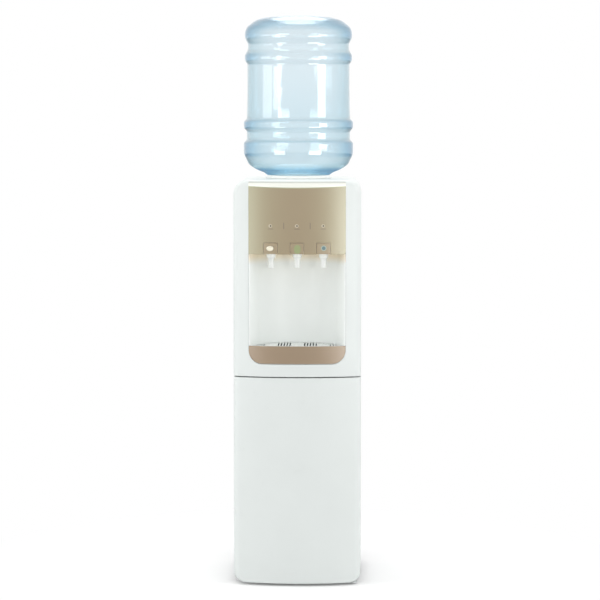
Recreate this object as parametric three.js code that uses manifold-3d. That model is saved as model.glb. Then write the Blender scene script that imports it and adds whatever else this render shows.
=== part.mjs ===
// Floor-standing water dispenser with an inverted bottle on top, three push keys over
// three nozzles, a drip tray and a lower door. Millimetres, +Z up, the front faces -Y,
// the origin is on the floor in the middle of the footprint.
import * as THREE from 'three';
import { mergeVertices } from 'three/addons/utils/BufferGeometryUtils.js';
import Module from 'manifold-3d';

const wasm = await Module();
wasm.setup();

// Driving dimensions of the cabinet
const cabinet = {
  width: 312,
  depth: 330,
  top: 996,
  bow: 24,
  planRadius: 20,
  crownRadius: 34,
  skirtRadius: 22,
  browRadius: 14,
  mouldingDepth: 57,
  rearStandOff: 15,
};
const seam = { height: 515.5, gap: 2.4 };
const mouldedWall = 3;
const sheetWall = 1.2;
const fit = 0.3;
const overrun = 5;

// Side counts of round pieces, from thin bores to the wide drums
const boreSides = 12;
const pinSides = 14;
const bossSides = 16;
const drumSides = 20;
const roundSides = 24;
const rimSides = 40;

// Levels and planes that several pieces share
const frontY = -cabinet.depth / 2;
const rearY = cabinet.depth / 2;
const faceY = frontY + cabinet.mouldingDepth;
const backPlaneY = rearY - cabinet.rearStandOff;
const halfWidth = cabinet.width / 2;
const headBottom = seam.height + seam.gap / 2;
const doorTop = seam.height - seam.gap / 2;
const innerHalfWidth = halfWidth - sheetWall - fit;

const foot = {
  height: 8,
  padRadius: 12,
  padHeight: 5,
  studRadius: 6,
  sideInset: 56,
  frontInset: 28,
  rearInset: 22,
};
const basePan = { depth: 16, floor: 1.6, wall: 1.6, sideInset: 25, frontGap: 6 };
const sidePanel = { flange: 8, bottomRise: 16 };
const coverSkirt = 46;
const doorBottom = 6;

// Window in the upper front, with the control panel, the alcove and the tray in it
const windowEdge = { side: 37.6, rise: 32, drop: 4 };
const windowCut = {
  width: cabinet.width - 2 * windowEdge.side,
  bottom: seam.height + windowEdge.rise,
  top: cabinet.top - windowEdge.drop,
  lowerRadius: 34,
  upperRadius: 3,
};
const panel = { height: 180, edgeGap: 0.4, postRadius: 3, postShare: 0.625, postRise: 8 };
const panelBottom = cabinet.top - panel.height;
const key = {
  width: 33,
  height: 26.6,
  thickness: 3,
  gap: 0.5,
  rise: 1,
  travel: 4,
  stemSide: 8,
  stemSet: 6,
};
const nozzle = { fromEdge: 54.4, fromFront: 32, drop: 35 };
const nozzleSpacing = windowCut.width / 2 - nozzle.fromEdge;
const nozzleBottom = panelBottom - nozzle.drop;
const lock = { width: 17.5, height: 12, depth: 2.4, offsetX: 1.6, travel: 1.6, gap: 0.4 };
const alcove = {
  axisGap: 57,
  creaseInset: 24.4,
  arcSet: 30,
  flareFromFront: 13,
  rimInset: 0.8,
  ceilingSet: 14.4,
};
const alcoveBackY = -alcove.axisGap;
const creaseX = windowCut.width / 2 - alcove.creaseInset;
const alcoveRadius = creaseX + alcove.arcSet;
const alcoveCentreY = alcoveBackY - alcoveRadius;
const tray = { height: 43, rise: 1.5, frontWall: 4, wall: 2.5, gap: 1, grilleDrop: 3.2 };
const trayBottom = windowCut.bottom + tray.rise;
const trayTop = trayBottom + tray.height;
const grille = { gap: 1.2, slotPitch: 7.4, slotWidth: 3.2, edge: 9, dryRadius: 15, fanned: 4, fanStep: 2.6 };

// Bottle, upside down: heights over the top of the cabinet, the minus ones down in the seat
const bottle = {
  neckBottom: -84,
  neckRadius: 27.5,
  neckTop: -36,
  coneStartRadius: 36,
  coneStart: -22,
  coneEndRadius: 86,
  coneEnd: 14.8,
  bodyFoot: 62,
  wall: 1.5,
  neckWall: 2.4,
  ringRadius: 136,
  bodyRadius: 128,
  domeRadius: 22,
  top: 403,
};
const neckBottom = cabinet.top + bottle.neckBottom;
const neckTop = cabinet.top + bottle.neckTop;
const coneStart = cabinet.top + bottle.coneStart;
const coneEnd = cabinet.top + bottle.coneEnd;
const bodyFoot = cabinet.top + bottle.bodyFoot;
const bottleTop = cabinet.top + bottle.top;
const bottleCap = { wall: 2, floor: 2.7, skirt: 24, gap: 0.3, drop: 3, holeGap: 1.5 };
const seat = {
  ringRadius: 75,
  flangeRadius: 81.5,
  flangeLip: 1.7,
  wall: 3,
  neckGap: 4,
  floorDrop: 94.3,
  hopperRadius: 69.4,
  drop: 0.51,
};
const seatFloor = cabinet.top - seat.floorDrop;
const probe = {
  radius: 9.5,
  wall: 2,
  flangeRadius: 24,
  flange: 2.5,
  height: 47,
  slotWidth: 6,
  slotHeight: 14,
};

// What stands inside the cabinet
const shelfDrop = 84;
const shelfLevel = panelBottom - shelfDrop;
const coldTank = { radius: 70, y: 30, rise: 16, seatGap: 4.7, wall: 1.2 };
const coldBottom = shelfLevel + coldTank.rise;
const coldTop = seatFloor - coldTank.seatGap;
const coil = { tubeRadius: 4, turns: 3, pitch: 20, bottomRise: 24, stepsPerTurn: 16, sides: 6 };
const coldFoam = { wall: 9, frontGap: 2, topDrop: 3 };
const hotTank = { x: -55, fromBack: 80, radius: 52, headRoom: 58.5, wall: 1.2 };
const hotY = backPlaneY - hotTank.fromBack;
const hotJacket = { wall: 15, topWall: 12 };
const controlBox = { width: 72, depth: 66, height: 110, fromSide: 48, fromBack: 72 };
const compressor = {
  x: 20,
  fromBack: 55,
  radius: 50,
  bodyHeight: 118,
  postRadius: 8,
  post: 12,
  plate: 2.5,
  postX: 46,
  postY: 36,
};
const compressorY = backPlaneY - compressor.fromBack;
const drain = { rise: 28.3, radius: 6, bore: 4, length: 12, flangeRadius: 11, flange: 2, capRadius: 10 };
const drainZ = headBottom + drain.rise;
const condenser = {
  tubeRadius: 2.6,
  passes: 7,
  drainGap: 55,
  sideInset: 32,
  topDrop: 108,
  standOff: 7,
  steps: 90,
  sides: 6,
};
const condenserTop = cabinet.top - condenser.topDrop;
const condenserBottom = drainZ + condenser.drainGap;
const condenserPitch = (condenserTop - condenserBottom) / (condenser.passes - 1);
const condenserHalf = halfWidth - condenser.sideInset - condenserPitch / 2;
const compartment = {
  sideInset: 31,
  bottom: 48,
  topDrop: 17.3,
  fromBack: 110,
  wall: 3,
  flangeBottom: 28,
  ledge: 4,
  ledgeZ: 262,
};
const compartmentHalf = halfWidth - compartment.sideInset;
const compartmentTop = doorTop - compartment.topDrop;
const shelf = { thickness: 4, slotPitch: 24, slotWidth: 12, edge: 14 };
const door = { backGap: 8, linerWall: 2.5, plugInset: 8, plugDepth: 9, plugRise: 9.5 };
const gasket = { width: 14, gap: 0.8 };
const hinge = {
  fromSide: 15,
  fromFace: 20,
  pinRadius: 3,
  pinGap: 0.4,
  plate: 2.4,
  pinLength: 14,
  plateDrop: 0.5,
};
const switchPlate = { fromSide: 78, drop: 53.5, width: 66, height: 40, thickness: 2 };
const switchPlateX = halfWidth - switchPlate.fromSide;
const switchPlateZ = seam.height - switchPlate.drop;
const rocker = { width: 19, height: 13, depth: 8, spacing: 30, gap: 0.6, proud: 3 };
const inlet = {
  drop: 123.5,
  width: 30,
  height: 24,
  flange: 3,
  depth: 20,
  flangeLip: 5,
  pocket: 14,
  pocketWall: 3,
};
const inletZ = seam.height - inlet.drop;
const lamp = { radius: 1.7, rise: 69, gap: 0.25, board: 1.6, boardHeight: 34, boardLap: 20, boardSet: 14 };
const lampZ = panelBottom + lamp.rise;
const hose = { radius: 5, sides: 8 };
const pipe = { radius: 3.2, sides: 6 };
const drier = { radius: 6.4, neckRadius: 3, length: 84, neck: 8 };

// Finishes, with colours as seen on the object
function finish(color, roughness, metalness = 0) {
  return new THREE.MeshStandardMaterial({ color, roughness, metalness });
}
function clearFinish(color, roughness, opacity) {
  return new THREE.MeshStandardMaterial({ color, roughness, transparent: true, opacity });
}
const finishes = {
  white: finish(0xe6ebe9, 0.35),
  liner: finish(0xe3e8e6, 0.45),
  gold: finish(0xa9997f, 0.32, 0.85),
  goldTray: finish(0xa08c75, 0.38, 0.8),
  ivory: finish(0xefe9d6, 0.4),
  bottle: clearFinish(0xbcdcec, 0.08, 0.45),
  cap: finish(0x3f8fc4, 0.5),
  rubber: finish(0x22242a, 0.85),
  grey: finish(0x9aa0a2, 0.6),
  black: finish(0x1c1d20, 0.5),
  steel: finish(0xb9bdc0, 0.3, 1),
  zinc: finish(0xa7abad, 0.5, 0.9),
  copper: finish(0xb87048, 0.35, 1),
  foam: finish(0xf1f1ec, 0.95),
  silicone: finish(0xe7ecee, 0.6),
  board: finish(0x1f6b45, 0.6),
  lamp: finish(0xf4f1e6, 0.25),
};

// Points of a circular arc, both ends included
function arcPoints(x, y, radius, from, to, steps) {
  const points = [];
  for (let i = 0; i <= steps; i += 1) {
    const angle = from + ((to - from) * i) / steps;
    points.push(new THREE.Vector2(x + radius * Math.cos(angle), y + radius * Math.sin(angle)));
  }
  return points;
}

// Closed solid from a geometry, with its shared corners welded
function solidOf(geometry) {
  geometry.deleteAttribute('normal');
  geometry.deleteAttribute('uv');
  const welded = mergeVertices(geometry);
  const corners = welded.index.array;
  const kept = [];
  for (let i = 0; i < corners.length; i += 3) {
    const [a, b, c] = [corners[i], corners[i + 1], corners[i + 2]];
    if (a !== b && b !== c && c !== a) kept.push(a, b, c);
  }
  const vertProperties = Float32Array.from(welded.attributes.position.array);
  return new wasm.Manifold(new wasm.Mesh({ numProp: 3, vertProperties, triVerts: Uint32Array.from(kept) }));
}

function extruded(points, depth, holes = []) {
  const shape = new THREE.Shape(points);
  holes.forEach((hole) => shape.holes.push(new THREE.Path(hole)));
  return new THREE.ExtrudeGeometry(shape, { depth, bevelEnabled: false });
}

// Outline in X and Y, raised from one height to another
function prismZ(points, low, high, holes) {
  return solidOf(extruded(points, high - low, holes).translate(0, 0, low));
}

// Outline in X and Z, run along Y
function prismY(points, near, far, holes) {
  return solidOf(extruded(points, far - near, holes).rotateX(Math.PI / 2).translate(0, far, 0));
}

// Outline in Y and Z, run along X
function prismX(points, left, right, holes) {
  const turn = new THREE.Matrix4().set(0, 0, 1, 0, 1, 0, 0, 0, 0, 1, 0, 0, 0, 0, 0, 1);
  return solidOf(extruded(points, right - left, holes).applyMatrix4(turn).translate(left, 0, 0));
}

function block(x, y, z) {
  const geometry = new THREE.BoxGeometry(x[1] - x[0], y[1] - y[0], z[1] - z[0]);
  return solidOf(geometry.translate((x[0] + x[1]) / 2, (y[0] + y[1]) / 2, (z[0] + z[1]) / 2));
}

// Profile of [radius, height] pairs turned about the Z axis
function turned(profile, segments) {
  const points = profile.map(([radius, height]) => new THREE.Vector2(radius, height));
  const area = THREE.ShapeUtils.area([...points, ...(points[0].x > 0 ? [] : [new THREE.Vector2()])]);
  if (area < 0) points.reverse();
  return solidOf(new THREE.LatheGeometry(points, segments).rotateX(Math.PI / 2));
}

function rodZ(x, y, radius, low, high, segments = bossSides) {
  const geometry = new THREE.CylinderGeometry(radius, radius, high - low, segments);
  return solidOf(geometry.rotateX(Math.PI / 2).translate(x, y, (low + high) / 2));
}

function rodY(x, z, radius, near, far, segments = bossSides) {
  const geometry = new THREE.CylinderGeometry(radius, radius, far - near, segments);
  return solidOf(geometry.translate(x, (near + far) / 2, z));
}

function rodX(y, z, radius, left, right, segments = bossSides) {
  const geometry = new THREE.CylinderGeometry(radius, radius, right - left, segments);
  return solidOf(geometry.rotateZ(Math.PI / 2).translate((left + right) / 2, y, z));
}

// Round tube along a smooth curve
function swept(curve, radius, sides, steps) {
  const section = new THREE.Shape(arcPoints(0, 0, radius, 0, 2 * Math.PI, sides).slice(0, sides));
  return solidOf(new THREE.ExtrudeGeometry(section, { steps, bevelEnabled: false, extrudePath: curve }));
}

function throughPoints(points) {
  return new THREE.CatmullRomCurve3(points.map((p) => new THREE.Vector3(...p)), false, 'centripetal');
}

// Skin through level rings that all have the same number of points
function loft(rings) {
  const count = rings[0].points.length;
  const positions = [];
  rings.forEach(({ points, z }) => points.forEach((p) => positions.push(p.x, p.y, z)));
  const index = [];
  for (let k = 0; k < rings.length - 1; k += 1) {
    for (let i = 0; i < count; i += 1) {
      const a = k * count + i;
      const b = k * count + ((i + 1) % count);
      index.push(a, b, b + count, a, b + count, a + count);
    }
  }
  const topStart = (rings.length - 1) * count;
  THREE.ShapeUtils.triangulateShape(rings[0].points, []).forEach(([a, b, c]) => {
    index.push(c, b, a, topStart + a, topStart + b, topStart + c);
  });
  const geometry = new THREE.BufferGeometry();
  geometry.setAttribute('position', new THREE.Float32BufferAttribute(positions, 3));
  geometry.setIndex(index);
  return solidOf(geometry);
}

// Plan of the bowed front, drawn in by an inset, closed by a straight line at the back
const bowRadius = (halfWidth ** 2 + cabinet.bow ** 2) / (2 * cabinet.bow);
const bowCentreY = frontY + bowRadius;
const cornerX = halfWidth - cabinet.planRadius;
const cornerY = bowCentreY - Math.sqrt((bowRadius - cabinet.planRadius) ** 2 - cornerX ** 2);

function bowY(x, inset = 0) {
  return bowCentreY - Math.sqrt((bowRadius - inset) ** 2 - x ** 2);
}

function frontPlan(inset, back) {
  const side = halfWidth - inset;
  const small = cabinet.planRadius - inset;
  const turnAngle = Math.atan2(cornerY - bowCentreY, cornerX);
  return [
    new THREE.Vector2(-side, back),
    ...arcPoints(-cornerX, cornerY, small, -Math.PI, -Math.PI - turnAngle, 5),
    ...arcPoints(0, bowCentreY, bowRadius - inset, -Math.PI - turnAngle, turnAngle, 14).slice(1, -1),
    ...arcPoints(cornerX, cornerY, small, turnAngle, 0, 5),
    new THREE.Vector2(side, back),
  ];
}

// Rounded outline seen from the front, with its own lower and upper corner radii
function frontOutline(side, bottom, top, lowerRadius, upperRadius) {
  const right = Math.PI / 2;
  return [
    ...arcPoints(side - lowerRadius, bottom + lowerRadius, lowerRadius, -right, 0, 6),
    ...arcPoints(side - upperRadius, top - upperRadius, upperRadius, 0, right, 6),
    ...arcPoints(upperRadius - side, top - upperRadius, upperRadius, right, Math.PI, 6),
    ...arcPoints(lowerRadius - side, bottom + lowerRadius, lowerRadius, Math.PI, 3 * right, 6),
  ];
}

function silhouette(inset, near, far) {
  const outline = frontOutline(
    halfWidth - inset,
    doorBottom + inset,
    cabinet.top - inset,
    cabinet.skirtRadius - inset,
    cabinet.crownRadius - inset,
  );
  return prismY(outline, near, far);
}

// Body of the head, drawn in by an inset, with its upper edge rolled back to the top
function headBody(inset, bottom, back = faceY) {
  const top = cabinet.top - inset;
  const brow = cabinet.browRadius - inset;
  const rings = [{ points: frontPlan(inset, back), z: bottom }];
  const browSteps = 5;
  for (let i = 0; i <= browSteps; i += 1) {
    const angle = (i / browSteps) * (Math.PI / 2);
    const drawn = inset + brow * (1 - Math.cos(angle));
    rings.push({ points: frontPlan(drawn, back), z: top - brow * (1 - Math.sin(angle)) });
  }
  return loft(rings).intersect(silhouette(inset, frontY - overrun, back + overrun));
}

function windowOutline(inset, top = windowCut.top - inset) {
  return frontOutline(
    windowCut.width / 2 - inset,
    windowCut.bottom + inset,
    top,
    windowCut.lowerRadius - inset,
    windowCut.upperRadius,
  );
}

// Plan of the alcove hollow: flared sides, then a round back
function alcovePlan(inset) {
  const radius = alcoveRadius - inset;
  const half = Math.asin(creaseX / alcoveRadius);
  const mouth = windowCut.width / 2 - panel.edgeGap - mouldedWall - inset;
  const flareY = frontY + alcove.flareFromFront;
  return [
    new THREE.Vector2(-mouth, frontY - overrun),
    new THREE.Vector2(mouth, frontY - overrun),
    new THREE.Vector2(mouth, flareY),
    ...arcPoints(0, alcoveCentreY, radius, Math.PI / 2 - half, Math.PI / 2 + half, 12),
    new THREE.Vector2(-mouth, flareY),
  ];
}

// Shelf of the cabinet at a level: a sheet with its side edges turned down
function crossSheet(level, near, turnDown) {
  const far = backPlaneY - sheetWall - fit;
  const plate = block([-innerHalfWidth, innerHalfWidth], [near, far], [level, level + sheetWall]);
  const lips = [-1, 1].map((side) => {
    const edges = [side * innerHalfWidth, side * (innerHalfWidth - sheetWall)].sort((a, b) => a - b);
    return block(edges, [near, far], [level - turnDown, level]);
  });
  return plate.add(lips[0]).add(lips[1]);
}

const dispenser = new THREE.Group();

function addMesh(name, solid, material, place = [0, 0, 0]) {
  const { vertProperties, triVerts } = solid.getMesh();
  const geometry = new THREE.BufferGeometry();
  geometry.setAttribute('position', new THREE.BufferAttribute(Float32Array.from(vertProperties), 3));
  geometry.setIndex(new THREE.BufferAttribute(Uint32Array.from(triVerts), 1));
  const mesh = new THREE.Mesh(geometry, material);
  mesh.name = name;
  mesh.position.set(...place);
  dispenser.add(mesh);
}

// Feet: a rubber pad with a stud up to the base pan
const footStudTop = foot.height - fit;
const footX = halfWidth - foot.sideInset;
const footY = { front: faceY + foot.frontInset, rear: backPlaneY - foot.rearInset };
[['left', -1], ['right', 1]].forEach(([sideName, side]) => {
  ['front', 'rear'].forEach((end) => {
    const profile = [
      [0, 0],
      [foot.padRadius, 0],
      [foot.padRadius, foot.padHeight],
      [foot.studRadius, foot.padHeight],
      [foot.studRadius, footStudTop],
      [0, footStudTop],
    ];
    const place = [side * footX, footY[end], 0];
    addMesh(`foot_${end}_${sideName}`, turned(profile, pinSides), finishes.rubber, place);
  });
});

// Base pan: a floor with raised walls and a flange out to the side panels
const panTop = foot.height + basePan.depth;
function buildBasePan() {
  const x = halfWidth - basePan.sideInset;
  const near = faceY + basePan.frontGap;
  const far = backPlaneY - sheetWall - fit;
  const flange = block([-innerHalfWidth, innerHalfWidth], [near, far], [panTop, panTop + basePan.wall]);
  const body = block([-x, x], [near, far], [foot.height, panTop + basePan.wall]);
  const hollow = block(
    [basePan.wall - x, x - basePan.wall],
    [near + basePan.wall, far - basePan.wall],
    [foot.height + basePan.floor, panTop + overrun],
  );
  return flange.add(body).subtract(hollow);
}
addMesh('base_pan', buildBasePan(), finishes.zinc);

// Side panels: folded sheets with a flange at the front and at the back
const sideBottom = foot.height + sidePanel.bottomRise - sheetWall;
const coverBottom = cabinet.top - coverSkirt;
function buildSidePanel(side) {
  const near = faceY + fit;
  const far = backPlaneY;
  const outline = [
    [halfWidth - sidePanel.flange, near],
    [halfWidth, near],
    [halfWidth, far],
    [halfWidth - sidePanel.flange, far],
    [halfWidth - sidePanel.flange, far - sheetWall],
    [halfWidth - sheetWall, far - sheetWall],
    [halfWidth - sheetWall, near + sheetWall],
    [halfWidth - sidePanel.flange, near + sheetWall],
  ].map(([x, y]) => new THREE.Vector2(side * x, y));
  return prismZ(outline, sideBottom, coverBottom - fit);
}
addMesh('side_panel_left', buildSidePanel(-1), finishes.white);
addMesh('side_panel_right', buildSidePanel(1), finishes.white);

// Back panel with louvre slots and holes for the drain and the switch plate
const backPanel = { bottom: 205, slotWidth: 90, slotHeight: 4, slotPitch: 12, slotRows: 8 };
const backPanelHalf = halfWidth - sidePanel.flange - fit;
function buildBackPanel() {
  const near = backPlaneY - sheetWall;
  const height = [backPanel.bottom, coverBottom - fit];
  let plate = block([-backPanelHalf, backPanelHalf], [near, backPlaneY], height);
  const depth = [near - overrun, backPlaneY + overrun];
  const cuts = [];
  for (let row = 0; row < backPanel.slotRows; row += 1) {
    const z = backPanel.bottom + backPanel.slotPitch * (row + 2);
    const slot = [z, z + backPanel.slotHeight];
    const gap = (backPanelHalf - backPanel.slotWidth) / 2;
    cuts.push(block([gap, gap + backPanel.slotWidth], depth, slot));
    cuts.push(block([-gap - backPanel.slotWidth, -gap], depth, slot));
  }
  cuts.push(rodY(hotTank.x, drainZ, drain.radius + fit, ...depth));
  cuts.push(block(
    [switchPlateX - rocker.spacing, switchPlateX + rocker.spacing],
    depth,
    [switchPlateZ - rocker.height, switchPlateZ + rocker.height],
  ));
  const halfInlet = inlet.width / 2 + fit;
  cuts.push(block(
    [switchPlateX - halfInlet, switchPlateX + halfInlet],
    depth,
    [inletZ - inlet.height / 2 - fit, inletZ + inlet.height / 2 + fit],
  ));
  cuts.forEach((cut) => { plate = plate.subtract(cut); });
  return plate;
}
addMesh('back_panel', buildBackPanel(), finishes.zinc);

// Top cover: an arched lid with a round opening for the bottle seat
function buildTopCover() {
  const near = faceY + fit;
  const wide = [-cabinet.width, cabinet.width];
  const keep = block(wide, [near, backPlaneY], [coverBottom, cabinet.top + overrun]);
  const shell = silhouette(0, near, backPlaneY).intersect(keep);
  const hollow = silhouette(mouldedWall, near - overrun, backPlaneY - mouldedWall);
  const hole = rodZ(0, 0, seat.hopperRadius + fit * 2, coverBottom, cabinet.top + overrun, rimSides);
  return shell.subtract(hollow).subtract(hole);
}
addMesh('top_cover', buildTopCover(), finishes.white);

// Upper front: the bowed white moulding round the window
function headSkin(wall) {
  return headBody(0, headBottom).subtract(headBody(wall, headBottom - overrun, faceY + overrun));
}
const headShell = headSkin(mouldedWall);
function buildUpperFront() {
  const opening = prismY(windowOutline(0), frontY - overrun, faceY - mouldedWall);
  return headShell.subtract(opening);
}
addMesh('upper_front', buildUpperFront(), finishes.white);

// Control panel with notches for the keys, holes for the lamps and posts for the board
const nozzleX = [-nozzleSpacing, 0, nozzleSpacing];
const keyBottom = panelBottom + key.rise;
const boardY = frontY + lamp.boardSet;
function buildControlPanel() {
  const edge = windowCut.width / 2 - panel.edgeGap;
  const outline = frontOutline(
    edge,
    panelBottom,
    windowCut.top - panel.edgeGap,
    windowCut.upperRadius,
    windowCut.upperRadius,
  );
  let solid = headShell.intersect(prismY(outline, frontY - overrun, faceY));
  [-1, 1].forEach((side) => {
    const x = side * nozzleSpacing * panel.postShare;
    const y = [bowY(x, mouldedWall / 2), boardY - fit];
    solid = solid.add(rodY(x, lampZ + panel.postRise, panel.postRadius, ...y, boreSides));
  });
  const halfKey = key.width / 2 + key.gap;
  nozzleX.forEach((x) => {
    const notch = block(
      [x - halfKey, x + halfKey],
      [frontY - overrun, faceY],
      [panelBottom - overrun, keyBottom + key.height + key.gap],
    );
    const lampHole = rodY(x, lampZ, lamp.radius + lamp.gap, frontY - overrun, faceY, boreSides);
    solid = solid.subtract(notch).subtract(lampHole);
  });
  return solid;
}
addMesh('control_panel', buildControlPanel(), finishes.gold);

// Board behind the panel, and the three lamps that show through it
function buildDisplayBoard() {
  const half = nozzleSpacing + lamp.boardLap;
  const z = [lampZ - lamp.boardHeight / 2, lampZ + lamp.boardHeight / 2];
  return block([-half, half], [boardY, boardY + lamp.board], z);
}
addMesh('display_board', buildDisplayBoard(), finishes.board);
['hot', 'power', 'cold'].forEach((name, i) => {
  const x = nozzleX[i];
  addMesh(`lamp_${name}`, rodY(x, lampZ, lamp.radius, bowY(x), boardY - fit, boreSides), finishes.lamp);
});

// Push keys: a bowed plate with a stem that runs back into its tap
const tapBody = {
  width: 26,
  depth: 36,
  height: 22,
  collarRadius: 11,
  collar: 16,
  tipRadius: 8.2,
  boreRadius: 5,
  inletLength: 10,
};
const ceilingTop = panelBottom + mouldedWall;
const tapBottom = ceilingTop + fit;
const tapY = frontY + nozzle.fromFront;
const tapFront = tapY - tapBody.depth / 2;
const stemZ = tapBottom + tapBody.height / 2;
function keyPlate(x) {
  const half = key.width / 2;
  const near = Math.max(bowY(x - half), bowY(x + half));
  const steps = 4;
  const front = [];
  for (let i = 0; i <= steps; i += 1) {
    const px = x - half + (key.width * i) / steps;
    front.push(new THREE.Vector2(px, bowY(px)));
  }
  const back = near + key.thickness;
  const outline = [new THREE.Vector2(x - half, back), ...front, new THREE.Vector2(x + half, back)];
  const plate = prismZ(outline, keyBottom, keyBottom + key.height);
  const side = key.stemSide / 2;
  const stemRun = [back - fit, tapFront + key.stemSet];
  const stem = block([x - side, x + side], stemRun, [stemZ - side, stemZ + side]);
  return plate.add(stem);
}
const lockX = nozzleX[0] - lock.offsetX;
const lockZ = keyBottom + key.height / 2;
function ovalPoints(width, height) {
  return arcPoints(0, 0, 1, 0, 2 * Math.PI, drumSides).slice(0, drumSides)
    .map((p) => new THREE.Vector2(lockX + (p.x * width) / 2, lockZ + (p.y * height) / 2));
}
const lockFace = bowY(lockX);
['hot', 'ambient', 'cold'].forEach((name, i) => {
  let solid = keyPlate(nozzleX[i]);
  if (name === 'hot') {
    const pocket = ovalPoints(lock.width + 2 * lock.gap, lock.height + 2 * lock.gap);
    solid = solid.subtract(prismY(pocket, frontY - overrun, lockFace + lock.depth + fit));
  }
  addMesh(`key_${name}`, solid, finishes.gold);
});
const lockNear = lockFace - lock.travel;
const lockPlate = prismY(ovalPoints(lock.width, lock.height), lockNear, lockNear + lock.depth);
addMesh('child_lock', lockPlate, finishes.ivory);

// Taps: a body over the ceiling of the alcove, a nozzle down through it and a rear inlet
function buildTap(x) {
  const collarBottom = tapBottom - tapBody.collar;
  const z = [tapBottom, tapBottom + tapBody.height];
  const flareShare = 0.35;
  const flare = tapBody.collarRadius - tapBody.tipRadius;
  const profile = [
    [0, nozzleBottom],
    [tapBody.tipRadius, nozzleBottom],
    [tapBody.tipRadius, collarBottom - flare],
    [tapBody.collarRadius, collarBottom],
    [tapBody.collarRadius, tapBottom + tapBody.height * flareShare],
    [0, tapBottom + tapBody.height * flareShare],
  ];
  const side = key.stemSide / 2 + fit * 2;
  const stemRoom = [tapFront - overrun, tapFront + key.stemSet + key.travel + fit];
  const rear = tapFront + tapBody.depth;
  return block([-tapBody.width / 2, tapBody.width / 2], [tapFront, rear], z)
    .add(turned(profile, bossSides).translate([0, tapY, 0]))
    .add(rodY(0, stemZ, hose.radius, rear - fit, rear + tapBody.inletLength, boreSides))
    .subtract(rodZ(0, tapY, tapBody.boreRadius, nozzleBottom - overrun, stemZ, pinSides))
    .subtract(block([-side, side], stemRoom, [stemZ - side, stemZ + side]))
    .translate([x, 0, 0]);
}
['hot', 'ambient', 'cold'].forEach((name, i) => {
  addMesh(`tap_${name}`, buildTap(nozzleX[i]), finishes.white);
});

// Alcove liner: one moulding round the recess, closed above, open to the front
const alcoveReach = alcoveBackY + cabinet.mouldingDepth;
function buildAlcoveLiner() {
  const gap = panel.edgeGap;
  const outer = prismZ(alcovePlan(-mouldedWall), windowCut.bottom, ceilingTop)
    .intersect(prismY(windowOutline(gap, ceilingTop), frontY - overrun, alcoveReach));
  const mouth = windowOutline(gap + mouldedWall, panelBottom);
  const hollow = prismZ(alcovePlan(0), windowCut.bottom, panelBottom)
    .intersect(prismY(mouth, frontY - overrun * 2, alcoveReach));
  const wide = [-cabinet.width, cabinet.width];
  const trayLevel = trayTop + fit;
  const rim = prismZ(frontPlan(alcove.rimInset, alcoveReach), trayLevel, panelBottom - fit);
  const lowPlan = frontPlan(tray.frontWall + gap, alcoveReach);
  const behindTray = prismZ(lowPlan, windowCut.bottom, trayLevel + overrun);
  const ceilingFront = frontY + alcove.ceilingSet;
  const ceilingLevels = [panelBottom - fit * 2, ceilingTop + overrun];
  const ceiling = block(wide, [ceilingFront, alcoveReach], ceilingLevels)
    .intersect(prismZ(frontPlan(mouldedWall + gap, alcoveReach), ...ceilingLevels));
  let solid = outer.subtract(hollow).intersect(rim.add(behindTray).add(ceiling));
  nozzleX.forEach((x) => {
    const holeLevels = [panelBottom - overrun, ceilingTop + overrun];
    const hole = rodZ(x, tapY, tapBody.collarRadius + fit * 2, ...holeLevels, drumSides);
    solid = solid.subtract(hole);
  });
  return solid;
}
addMesh('alcove_liner', buildAlcoveLiner(), finishes.liner);

// Drip tray: a bowl behind a bowed front plate, with a slotted grille laid in it
const grilleBottom = trayTop - tray.grilleDrop;
const bowlTop = grilleBottom - fit;
function bowlBody(inset, top) {
  const clearance = panel.edgeGap + mouldedWall + tray.gap + inset;
  const front = tray.frontWall + fit + inset;
  return prismZ(alcovePlan(tray.gap + inset), windowCut.bottom, top)
    .intersect(prismY(windowOutline(clearance, top + overrun), frontY - overrun, alcoveReach))
    .intersect(prismZ(frontPlan(front, alcoveReach), windowCut.bottom, top));
}
const bowl = bowlBody(0, bowlTop).subtract(bowlBody(tray.wall, bowlTop + overrun));
addMesh('drip_tray', bowl, finishes.liner);

function buildTrayFront() {
  const sideGap = windowCut.width / 2 - panel.edgeGap * 2;
  const lowRadius = windowCut.lowerRadius - tray.rise;
  const outline = frontOutline(sideGap, trayBottom, trayTop, lowRadius, windowCut.upperRadius);
  return headSkin(tray.frontWall).intersect(prismY(outline, frontY - overrun, faceY - mouldedWall));
}
addMesh('drip_tray_front', buildTrayFront(), finishes.goldTray);

// Rear edge of the grille at a place across the alcove
function grilleRear(x) {
  const radius = alcoveRadius - grille.gap - grille.edge;
  return alcoveCentreY + Math.sqrt(radius ** 2 - x ** 2);
}
function buildGrille() {
  const outline = prismZ(alcovePlan(grille.gap), grilleBottom, trayTop);
  const front = prismZ(frontPlan(tray.frontWall + fit * 2, alcoveReach), grilleBottom, trayTop);
  let plate = outline.intersect(front);
  const half = grille.slotWidth / 2;
  const z = [grilleBottom - overrun, trayTop + overrun];
  const count = Math.floor((creaseX - grille.edge / 2) / grille.slotPitch);
  for (let i = -count; i <= count; i += 1) {
    const rearX = i * grille.slotPitch;
    const fan = Math.max(0, Math.abs(i) - count + grille.fanned) * grille.fanStep;
    const frontX = rearX + Math.sign(i) * fan;
    const dry = nozzleX.some((nx) => Math.abs(nx - rearX) < grille.dryRadius);
    const near = dry ? tapY + grille.dryRadius : bowY(frontX, tray.frontWall + grille.edge);
    const far = grilleRear(rearX);
    const corners = [
      [frontX - half, near],
      [frontX + half, near],
      [rearX + half, far],
      [rearX - half, far],
    ].map(([x, y]) => new THREE.Vector2(x, y));
    plate = plate.subtract(prismZ(corners, ...z));
  }
  return plate;
}
addMesh('drip_grille', buildGrille(), finishes.liner);

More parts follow.
